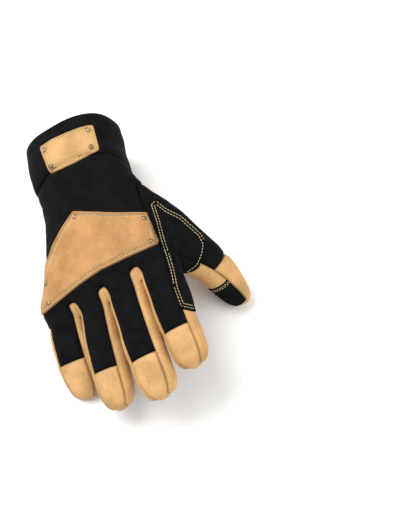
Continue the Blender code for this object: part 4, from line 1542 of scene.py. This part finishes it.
def drop_scraps(part):
    """Removes the parts of a surface that are much smaller than its largest part."""
    left = set(part.faces)
    groups = []
    while left:
        seed = left.pop()
        found = {seed}
        queue = [seed]
        while queue:
            for edge in queue.pop().edges:
                for face in edge.link_faces:
                    if face in left:
                        left.discard(face)
                        found.add(face)
                        queue.append(face)
        groups.append(found)
    largest = max(len(found) for found in groups)
    scraps = [face for found in groups if len(found) < largest * SCRAP_SHARE for face in found]
    bmesh.ops.delete(part, geom=scraps, context="FACES")
    loose = [vert for vert in part.verts if not vert.link_faces]
    bmesh.ops.delete(part, geom=loose, context="VERTS")


def tree_of(obj):
    graph = bpy.context.evaluated_depsgraph_get()
    return BVHTree.FromObject(obj, graph)


def thread_run(points, normals, store):
    """Adds stitches along a line on a surface to the store of points and faces."""
    p = looks()
    pitch, length, radius = p.stitch_length + p.stitch_gap, p.stitch_length, p.thread_radius
    points = np.array(points, float)
    lengths = np.linalg.norm(np.diff(points, axis=0), axis=1)
    along = np.concatenate([[0], np.cumsum(lengths)])
    normals = np.array(normals, float)
    count = int(along[-1] / pitch)
    if count < 1:
        return
    lead = (along[-1] - count * pitch + p.stitch_gap) / 2

    def at(distance):
        spot = Vector([np.interp(distance, along, points[:, k]) for k in range(3)])
        up = Vector([np.interp(distance, along, normals[:, k]) for k in range(3)])
        return spot, up.normalized()

    sides = STITCH_SIDES
    for number in range(count):
        begin = lead + number * pitch
        base = len(store[0])
        ahead = at(begin + length)[0] - at(begin)[0]
        if ahead.length < length * SHORTEST_STITCH:
            continue
        for share, wide, lift in STITCH_RINGS:
            spot, up = at(begin + share * length)
            side = ahead.cross(up).normalized()
            for turn in range(sides):
                angle = math.tau * turn / sides
                way = side * math.cos(angle) + up * math.sin(angle)
                point = spot + up * lift * radius + way * radius * wide
                point.z = max(point.z, 0.0)
                store[0].append(point)
        for ring in range(len(STITCH_RINGS) - 1):
            for turn in range(sides):
                a = base + ring * sides + turn
                b = base + ring * sides + (turn + 1) % sides
                store[1].append((a, b, b + sides, a + sides))
        store[1].append([base + turn for turn in reversed(range(sides))])
        store[1].append([base + (len(STITCH_RINGS) - 1) * sides + turn for turn in range(sides)])


def row_on(tree, places, store):
    """Stitches along the spots of a surface that are nearest to the given places."""
    hits = [tree.find_nearest(place) for place in places]
    thread_run([hit[0] for hit in hits], [hit[1] for hit in hits], store)


def add_thread(name, store):
    mesh = mesh_from(name, *store)
    mark_place(mesh, glove().to_world.inverted())
    return add_piece(name, mesh, materials()["thread"])


def outline_of(pattern):
    corners = [(x * pattern.span, y * pattern.span, r * MM) for x, y, r in pattern.corners]
    return np.array([tuple(point) for point in rounded(corners)])


def view_plane(across, up):
    right, above, near = seen_axes()
    place = glove().shift + Vector((0, 0, REST_HEIGHT)) + right * across + above * up
    return Plane(place, right, above, near)


def rounded(corners):
    """Outline points: each corner (across, up, radius) becomes a short arc."""
    points = []
    count = len(corners)
    for i in range(count):
        across, up, radius = corners[i]
        here = Vector((across, up))
        if radius == 0:
            points.append(here)
            continue
        before = (Vector(corners[i - 1][:2]) - here).normalized()
        after = (Vector(corners[(i + 1) % count][:2]) - here).normalized()
        half = before.angle(after) / 2
        reach = radius / math.tan(half)
        start, end = here + before * reach, here + after * reach
        for step in range(ARC_STEPS * 2 + 1):
            t = step / (ARC_STEPS * 2)
            points.append(start * (1 - t) ** 2 + here * 2 * t * (1 - t) + end * t**2)
    return points


# What is sewn on, seen from the camera: material, slot, rows of stitches in millimetres from the edge
SEEN_PATCHES = (
    (SHIELD, "shield", "tan_leather", (2.4, 3.6)),
    (BADGE, "badge", "pale_leather", (2.4,)),
    (SADDLE, "grip", "black_grip", (2.4, 4.6)),
)


def sew_rows(obj, lines, plane, shortest):
    """Stitches on the patch that the object is, along lines in its pattern's plane."""
    top = tree_of(obj)
    runs = ([], [])
    for line in lines:
        gaps = np.linalg.norm(np.diff(line, axis=0), axis=1)
        pieces = np.split(line, np.nonzero(gaps > WIDEST_GAP)[0] + 1) if len(line) > 2 else [line]
        for piece in pieces:
            if len(piece) < 2:
                continue
            spots, ups = [], []
            for x, y in resample(piece, STITCH_STEP):
                start = plane.place + plane.across * x + plane.up * y + plane.towards * CUTTER_REACH
                spot, normal, _, _ = top.ray_cast(start, -plane.towards)
                if spot is not None and normal.dot(plane.towards) < STITCH_FACING:
                    spot = None
                if spot is None or (spots and (spot - spots[-1]).length > STITCH_JUMP):
                    if len(spots) * STITCH_STEP > shortest:
                        thread_run(spots, ups, runs)
                    spots, ups = [], []
                if spot is not None:
                    spots.append(spot)
                    ups.append(normal)
            if len(spots) * STITCH_STEP > shortest:
                thread_run(spots, ups, runs)
    return runs


class GloveLooks(bpy.types.PropertyGroup):
    """The glove's settings, which the panel shows."""

    padding: bpy.props.FloatProperty(
        name="Padding", description="How full the panels are between their seams", default=1.0, min=0, max=2
    )
    folds: bpy.props.FloatProperty(
        name="Folds", description="How strong dents, folds and puckers are", default=1.0, min=0, max=2
    )
    seam_depth: bpy.props.FloatProperty(
        name="Seam depth", description="How deep the seams are drawn in", default=1.1 * MM, unit="LENGTH"
    )
    stitch_length: bpy.props.FloatProperty(
        name="Stitch length", description="Length of one stitch", default=2.3 * MM, unit="LENGTH"
    )
    stitch_gap: bpy.props.FloatProperty(
        name="Stitch gap", description="Gap between two stitches", default=0.55 * MM, unit="LENGTH"
    )
    thread_radius: bpy.props.FloatProperty(
        name="Thread radius", description="Half the thickness of the thread", default=0.30 * MM, unit="LENGTH"
    )
    tread_height: bpy.props.FloatProperty(
        name="Tread height", description="Height of the palm's lozenges", default=0.35 * MM, unit="LENGTH"
    )
    tan: bpy.props.FloatVectorProperty(
        name="Tan", description="Fingertip caps and sides", default=(0.56, 0.325, 0.130), subtype="COLOR"
    )
    palm: bpy.props.FloatVectorProperty(
        name="Palm", description="Palm leather", default=(0.56, 0.31, 0.115), subtype="COLOR"
    )
    tread: bpy.props.FloatVectorProperty(
        name="Tread", description="Lozenges on the palm", default=(0.40, 0.17, 0.06), subtype="COLOR"
    )
    shield: bpy.props.FloatVectorProperty(
        name="Shield", description="Knuckle shield", default=(0.43, 0.22, 0.078), subtype="COLOR"
    )
    badge: bpy.props.FloatVectorProperty(
        name="Badge", description="Cuff badge and pull loop", default=(0.50, 0.29, 0.115), subtype="COLOR"
    )
    label: bpy.props.FloatVectorProperty(
        name="Label", description="Size label", default=(0.60, 0.38, 0.12), subtype="COLOR"
    )
    black: bpy.props.FloatVectorProperty(
        name="Black", description="Stretch fabric", default=(0.0052, 0.0048, 0.0049), subtype="COLOR"
    )
    grip: bpy.props.FloatVectorProperty(
        name="Grip", description="Black patches", default=(0.0052, 0.0048, 0.0049), subtype="COLOR"
    )
    thread: bpy.props.FloatVectorProperty(
        name="Thread", description="Stitching", default=(0.62, 0.50, 0.27), subtype="COLOR"
    )
    brass: bpy.props.FloatVectorProperty(
        name="Brass", description="Rivets", default=(0.32, 0.22, 0.12), subtype="COLOR"
    )
    lining: bpy.props.FloatVectorProperty(
        name="Lining", description="Fleece inside", default=(0.012, 0.012, 0.013), subtype="COLOR"
    )
    floor: bpy.props.FloatVectorProperty(
        name="Floor", description="What the glove lies on", default=(0.86, 0.86, 0.85), subtype="COLOR"
    )


class BuildPanels(bpy.types.Operator):
    """Builds the padded panels of the glove"""

    bl_idname = "glove.build_panels"
    bl_label = "Build panels"

    def execute(self, context):
        for name in SOFT_PANELS:
            add_panel(name)
        return {"FINISHED"}


class BuildPatches(bpy.types.Operator):
    """Builds the shield, the badge, the saddle patch and the fingertip patches with their stitching"""

    bl_idname = "glove.build_patches"
    bl_label = "Build patches"

    def execute(self, context):
        g = glove()
        back, cuff, palm, thumb = (
            g.panel == g.skin.names.index(name) for name in ("back_panel", "cuff", "palm_panel", "thumb_palm")
        )
        root = (palm | thumb) & (g.place[g.corners].mean(1)[:, 2] > CROTCH_LEVEL - CROTCH_MARGIN)
        web = g.panel == g.skin.names.index("thumb_back")
        chosen = {
            "knuckle_shield": back,
            "cuff_badge": back | cuff,
            "saddle_patch": (g.zone == g.skin.zones["saddle"]) | root | back | web,
        }
        for pattern, material, slot, rows in SEEN_PATCHES:
            plane = view_plane(pattern.across, pattern.up)
            outline = outline_of(pattern)
            sizes = (-pattern.behind, CUTTER_REACH, pattern.thickness)
            obj = add_patch(
                pattern.name, outline, plane, chosen[pattern.name], sizes, materials()[material], rows
            )
            lines = [inset(resample(outline, OUTLINE_STEP, closed=True), row * MM) for row in rows]
            lines = [np.vstack([line, line[:1]]) for line in lines if len(line) > 3]
            add_thread(pattern.name + "_stitching", sew_rows(obj, lines, plane, SHORTEST_RUN))
        for name, end in g.frames.items():
            self.add_tip(name, end)
        return {"FINISHED"}

    def add_tip(self, name, end):
        half = end.width * (THUMB_PATCH_SHARE if name == "thumb" else PATCH_SHARE) / 2
        rounding = half * (THUMB_PATCH_ROUNDING if name == "thumb" else PATCH_TIP_ROUNDING)
        length = end.cap * PATCH_LENGTH_SHARE
        corners = (
            (-half, -length, PATCH_HEM_RADIUS),
            (half, -length, PATCH_HEM_RADIUS),
            (half, 0, rounding),
            (-half, 0, rounding),
        )
        outline = np.array([tuple(point) for point in rounded(corners)])
        turn = Matrix.Rotation(math.radians(THUMB_PATCH_TURN if name == "thumb" else 0), 3, end.heading)
        across, back = turn @ end.across, turn @ end.back
        place = end.place - end.heading * TIP_RIM
        plane = Plane(place, across, end.heading, -back)
        g = glove()
        chosen = g.panel == g.skin.names.index("palm_panel")
        if name == "thumb":
            chosen = g.zone == g.skin.zones[name]
        sizes = (-TIP_PATCH_WRAP, CUTTER_REACH, PATCH_THICKNESS)
        obj = add_patch(
            name + "_tip_patch", outline, plane, chosen, sizes, materials()["grip"], ()
        )
        top = tree_of(obj)
        runs = ([], [])
        for row in HEM_ROWS:
            middle = place + end.heading * (row * MM - length)
            ways = [Matrix.Rotation(math.radians(turn), 3, end.heading) @ plane.towards for turn in HEM_TURNS]
            hits = [top.ray_cast(middle + way * HEM_REACH, -way) for way in ways]
            hits = [hit for hit in hits if hit[0] is not None]
            if len(hits) > HEM_FEWEST:
                thread_run([hit[0] for hit in hits], [hit[1] for hit in hits], runs)
        add_thread(name + "_tip_stitching", runs)


class BuildSeamStitching(bpy.types.Operator):
    """Builds the stitch rows beside the seams of the fingertip caps and the thumb"""

    bl_idname = "glove.build_seam_stitching"
    bl_label = "Build seam stitching"

    def execute(self, context):
        g = glove()
        store = ([], [])
        for cap, other in CAP_SEAMS:
            line = self.seam(cap, other)
            heading = g.frames[cap.split("_")[0]].heading
            tree = g.panel_tree(cap)
            row_on(tree, [Vector(point) + heading * CAP_ROW * MM for point in line], store)
        add_thread("cap_seam_stitching", store)
        return {"FINISHED"}

    def seam(self, cap, other):
        g = glove()
        numbers = sorted((g.skin.names.index(cap), g.skin.names.index(other)))
        mine = (g.panel_low == numbers[0]) & (g.panel_high == numbers[1])
        spots = np.nonzero(mine)[0]
        order = spots[np.argsort(g.place[spots, 0])]
        if cap == "thumb_cap":
            order = spots[np.argsort(g.points[spots] @ np.array(g.frames["thumb"].across))]
        return resample(g.points[order], SEAM_STEP)


CAP_SEAMS = (
    ("little_cap", "back_panel"),
    ("ring_cap", "back_panel"),
    ("middle_cap", "back_panel"),
    ("index_cap", "back_panel"),
    ("thumb_cap", "thumb_back"),
)

# Rivet head: share of its radius and of its height, a domed cap in a rolled rim
RIVET_TURN = (
    (1.00, -0.20),
    (1.00, 0.22),
    (0.97, 0.40),
    (0.90, 0.52),
    (0.81, 0.50),
    (0.74, 0.38),
    (0.68, 0.40),
    (0.60, 0.62),
    (0.48, 0.82),
    (0.32, 0.95),
    (0.16, 1.00),
    (0.00, 1.01),
)
RIVET_SIDES = 36


class BuildRivets(bpy.types.Operator):
    """Builds the turned rivet heads on the shield and the badge"""

    bl_idname = "glove.build_rivets"
    bl_label = "Build rivets"

    def execute(self, context):
        for pattern, kind, places in (
            (SHIELD, "shield_rivet", SHIELD_RIVETS),
            (BADGE, "badge_rivet", BADGE_RIVETS),
        ):
            tree = tree_of(bpy.data.objects[pattern.name + "_sewn"])
            for number, (across, up) in enumerate(places, 1):
                across, up = pattern.across + across * pattern.span, pattern.up + up * pattern.span
                self.add(f"{kind}_{number}", tree, across, up)
        return {"FINISHED"}

    def add(self, name, tree, across, up):
        near = seen_axes()[2]
        plane = view_plane(across, up)
        spot, normal, _, _ = tree.ray_cast(plane.place + near * CUTTER_REACH, -near)
        if spot is None:
            spot, normal, _, _ = tree.find_nearest(plane.place)
        part = bmesh.new()
        line = [part.verts.new((r * RIVET_RADIUS, 0, h * RIVET_HEIGHT)) for r, h in RIVET_TURN]
        line.append(part.verts.new((0, 0, RIVET_TURN[0][1] * RIVET_HEIGHT)))
        edges = [part.edges.new(pair) for pair in zip(line, line[1:])]
        edges.append(part.edges.new((line[-1], line[0])))
        bmesh.ops.spin(
            part, geom=line + edges, angle=math.tau, steps=RIVET_SIDES, axis=(0, 0, 1), use_merge=True
        )
        bmesh.ops.remove_doubles(part, verts=part.verts[:], dist=0.01 * MM)
        bmesh.ops.dissolve_degenerate(part, edges=part.edges[:], dist=0.001 * MM)
        bmesh.ops.recalc_face_normals(part, faces=part.faces[:])
        part.transform(Matrix.Translation(spot) @ normal.to_track_quat("Z", "Y").to_matrix().to_4x4())
        mesh = bpy.data.meshes.new(name + "_head")
        part.to_mesh(mesh)
        part.free()
        mark_place(mesh, glove().to_world.inverted())
        add_piece(name + "_head", mesh, materials()["brass"], [name])


# The pull loop: points across it, where its stitches run as shares of its half width, how far off
# the search for its surface starts in millimetres, and the step between the label's rows of points
STRAP_COLUMNS = 9
STRAP_ROWS = (-0.86, 0.86)
STRAP_END_ROW = np.linspace(-0.8, 0.8, 12)
STRAP_PROBE = 3
LABEL_STEP = 2.0
# The strap leaves the cuff this far before the mouth, lies this much higher, and clears the floor
MOUTH_MARGIN = 1.5 * MM
STRAP_LIFT = 0.4
STRAP_CLEARANCE = 1.0 * MM
# The rounding of its edges: share of the thickness, steps, and the angle that counts as an edge
EDGE_SHARE = 0.35
EDGE_STEPS = 3
EDGE_ANGLE = 50
# The label's frame line: where it begins and ends, in millimetres in from the edge, and its colour
FRAME_START = (0.6, 0.9)
FRAME_END = (2.6, 2.3)
FRAME_COLOUR = (0.015, 0.014, 0.013)


class BuildPullLoop(bpy.types.Operator):
    """Builds the pull loop and its label on the palm side of the cuff"""

    bl_idname = "glove.build_pull_loop"
    bl_label = "Build pull loop"

    def execute(self, context):
        strap = self.lines(LOOP_PATH, LOOP_WIDTH)
        self.strip("pull_loop", strap, LOOP_THICKNESS, materials()["badge"], "tan_leather")
        label = self.lines(LABEL_PATH, LABEL_WIDTH)
        self.strip("size_label", label, LABEL_THICKNESS, self.label_material(), "mustard_label")
        store = ([], [])
        last = next(i for i, step in enumerate(self.steps(LOOP_PATH)) if step.along > -2)
        tree = tree_of(bpy.data.objects["pull_loop_strap"])
        for share in STRAP_ROWS:
            row_on(tree, [self.over(line, share) for line in strap[:last]], store)
        for line in (strap[1], strap[last - 2]):
            row_on(tree, [self.over(line, share) for share in STRAP_END_ROW], store)
        add_thread("pull_loop_stitching", store)
        return {"FINISHED"}

    def over(self, line, share):
        """A place off the strap, at a share of the way from its middle to one of its edges."""
        edge = line[-1] if share > 0 else line[0]
        return line[len(line) // 2].lerp(edge, abs(share)) + self.out * STRAP_PROBE * MM

    def steps(self, path):
        """The path's steps, rounded into a smooth line."""
        points = [Vector((step.along, step.out)) for step in path]
        ends = [2 * points[0] - points[1], *points, 2 * points[-1] - points[-2]]
        smooth = []
        for i in range(1, len(ends) - 2):
            parts = max(2, int((ends[i + 1] - ends[i]).length / 2))
            for k in range(parts):
                t = k / parts
                p0, p1, p2, p3 = ends[i - 1 : i + 3]
                smooth.append(
                    0.5 * (2 * p1 + (p2 - p0) * t + (2 * p0 - 5 * p1 + 4 * p2 - p3) * t**2
                           + (3 * p1 - p0 - 3 * p2 + p3) * t**3)
                )
        smooth.append(points[-1])
        return [Step(p.x, p.y) for p in smooth]

    def lines(self, path, width):
        g = glove()
        tree = g.panel_tree("cuff", "palm_panel")
        mouth = HAND_REACH + CUFF_REACH
        middle = CUFF_ROWS[-1].aside * finger_centres()[1] + LOOP_ASIDE
        turn = g.to_world.to_3x3()
        along = (turn @ Vector((0, 1, 0))).normalized()
        self.out = (turn @ Vector((0, 0, -1))).normalized()
        lines = []
        for step in self.steps(path):
            line = []
            for share in np.linspace(-0.5, 0.5, STRAP_COLUMNS):
                y = mouth + min(step.along * MM, -MOUTH_MARGIN)
                start = g.to_world @ Vector((middle + share * width, y, -CUFF_DEPTH))
                spot = tree.ray_cast(start, -self.out)[0]
                beyond = max(0.0, step.along * MM + MOUTH_MARGIN)
                point = spot + self.out * (step.out + STRAP_LIFT) * MM + along * beyond
                point.z = max(point.z, STRAP_CLEARANCE)
                line.append(point)
            lines.append(line)
        return lines

    def strip(self, node, lines, thickness, material, slot):
        columns = len(lines[0])
        points = [point for line in lines for point in line]
        faces = []
        for row in range(len(lines) - 1):
            for column in range(columns - 1):
                a = row * columns + column
                faces.append((a, a + columns, a + columns + 1, a + 1))
        mesh = mesh_from(node + "_strap", points, faces)
        edge = []
        for row in range(len(lines)):
            for column in range(columns):
                ends = min(row, len(lines) - 1 - row) * LABEL_STEP
                sides = min(column, columns - 1 - column) / (columns - 1) * LABEL_WIDTH / MM
                edge.append(min(ends, sides))
        mark_place(mesh, glove().to_world.inverted(), edge if node == "size_label" else None)
        obj = add_piece(node + "_strap", mesh, material, [node])
        shell = obj.modifiers.new("thickness", "SOLIDIFY")
        shell.thickness = thickness
        shell.offset = 0
        soft = obj.modifiers.new("edges", "BEVEL")
        soft.width = thickness * EDGE_SHARE
        soft.segments = EDGE_STEPS
        soft.limit_method = "ANGLE"
        soft.angle_limit = math.radians(EDGE_ANGLE)
        return obj

    def label_material(self):
        """A bare label: a dark frame line on a plain ground."""
        if "size_label_print" in bpy.data.materials:
            return bpy.data.materials["size_label_print"]
        material = surface("size_label_print", looks().label, "weave", 0.05 * MM, 0.7, seam_wear_and_painted_shade=0.0)
        tree = material.node_tree
        shader = tree.nodes["Principled BSDF"]
        plain = shader.inputs["Base Color"].links[0].from_socket
        edge = tree.nodes.new("ShaderNodeAttribute")
        edge.attribute_name = "seam"
        begun = spread(tree, edge.outputs["Fac"], *FRAME_START)
        line = calc(tree, "MULTIPLY", begun, spread(tree, edge.outputs["Fac"], *FRAME_END))
        tree.links.new(mix(tree, line, plain, FRAME_COLOUR), shader.inputs["Base Color"])
        return material


# The stage, in metres and watts. Lights: name, place, size, power
LIGHTS = (
    ("key_light", (-0.55, 0.35, 1.1), 1.0, 16),
    ("fill_light", (0.8, -0.6, 0.9), 1.2, 7),
)
SKY_STRENGTH = 0.75
FLOOR_REACH = 3
FLOOR_ROUGHNESS = 0.9


class BuildStage(bpy.types.Operator):
    """Builds the floor, the lights and the camera"""

    bl_idname = "glove.build_stage"
    bl_label = "Build stage"

    def execute(self, context):
        self.floor()
        for light in LIGHTS:
            self.light(*light)
        world = bpy.data.worlds.new("studio")
        world.use_nodes = True
        world.node_tree.nodes["Background"].inputs["Color"].default_value = (1.0, 1.0, 1.0, 1)
        world.node_tree.nodes["Background"].inputs["Strength"].default_value = SKY_STRENGTH
        context.scene.world = world
        context.scene.view_settings.view_transform = "Standard"
        self.camera(context)
        return {"FINISHED"}

    def floor(self):
        r = FLOOR_REACH
        mesh = mesh_from("floor", [(-r, -r, 0), (r, -r, 0), (r, r, 0), (-r, r, 0)], [(0, 1, 2, 3)])
        material = bpy.data.materials.new("floor")
        material.use_nodes = True
        shader = material.node_tree.nodes["Principled BSDF"]
        shader.inputs["Base Color"].default_value = (*looks().floor, 1)
        shader.inputs["Roughness"].default_value = FLOOR_ROUGHNESS
        obj = bpy.data.objects.new("floor", mesh)
        bpy.context.scene.collection.objects.link(obj)
        mesh.materials.append(material)

    def light(self, name, place, size, power):
        data = bpy.data.lights.new(name, "AREA")
        data.shape = "DISK"
        data.size = size
        data.energy = power
        obj = bpy.data.objects.new(name, data)
        bpy.context.scene.collection.objects.link(obj)
        obj.location = place
        obj.rotation_euler = (-Vector(place)).to_track_quat("-Z", "Y").to_euler()

    def camera(self, context):
        right, above, near = seen_axes()
        target = glove().shift + Vector((0, 0, MIDDLE_HEIGHT))
        target += right * (PHOTO[0] / 2 - GLOVE_PIXEL[0]) * PIXEL
        target += above * (GLOVE_PIXEL[1] - PHOTO[1] / 2) * PIXEL
        data = bpy.data.cameras.new("camera")
        data.sensor_fit = "HORIZONTAL"
        data.sensor_width = SENSOR
        data.lens = SENSOR * VIEW_DISTANCE / (PHOTO[0] * PIXEL)
        obj = bpy.data.objects.new("camera", data)
        context.scene.collection.objects.link(obj)
        obj.matrix_world = Matrix.Translation(target + near * VIEW_DISTANCE) @ Matrix(
            (right, above, near)
        ).transposed().to_4x4()
        context.scene.camera = obj


class GlovePanel(bpy.types.Panel):
    """Lists the settings and a button for each group of pieces."""

    bl_idname = "VIEW3D_PT_glove_looks"
    bl_label = "Glove looks"
    bl_space_type = "VIEW_3D"
    bl_region_type = "UI"
    bl_category = "Glove"

    def draw(self, context):
        for name in GloveLooks.__annotations__:
            self.layout.prop(context.scene.glove_looks, name)
        for operator in OPERATORS:
            self.layout.operator(operator.bl_idname)


OPERATORS = (BuildPanels, BuildPatches, BuildSeamStitching, BuildRivets, BuildPullLoop, BuildStage)


def register():
    for item in (GloveLooks, *OPERATORS, GlovePanel):
        bpy.utils.register_class(item)
    bpy.types.Scene.glove_looks = bpy.props.PointerProperty(type=GloveLooks)


def unregister():
    del bpy.types.Scene.glove_looks
    for item in reversed((GloveLooks, *OPERATORS, GlovePanel)):
        bpy.utils.unregister_class(item)


def main():
    register()
    bpy.ops.glove.build_panels()
    bpy.ops.glove.build_patches()
    bpy.ops.glove.build_seam_stitching()
    bpy.ops.glove.build_rivets()
    bpy.ops.glove.build_pull_loop()
    bpy.ops.glove.build_stage()


if __name__ == "__main__":
    main()
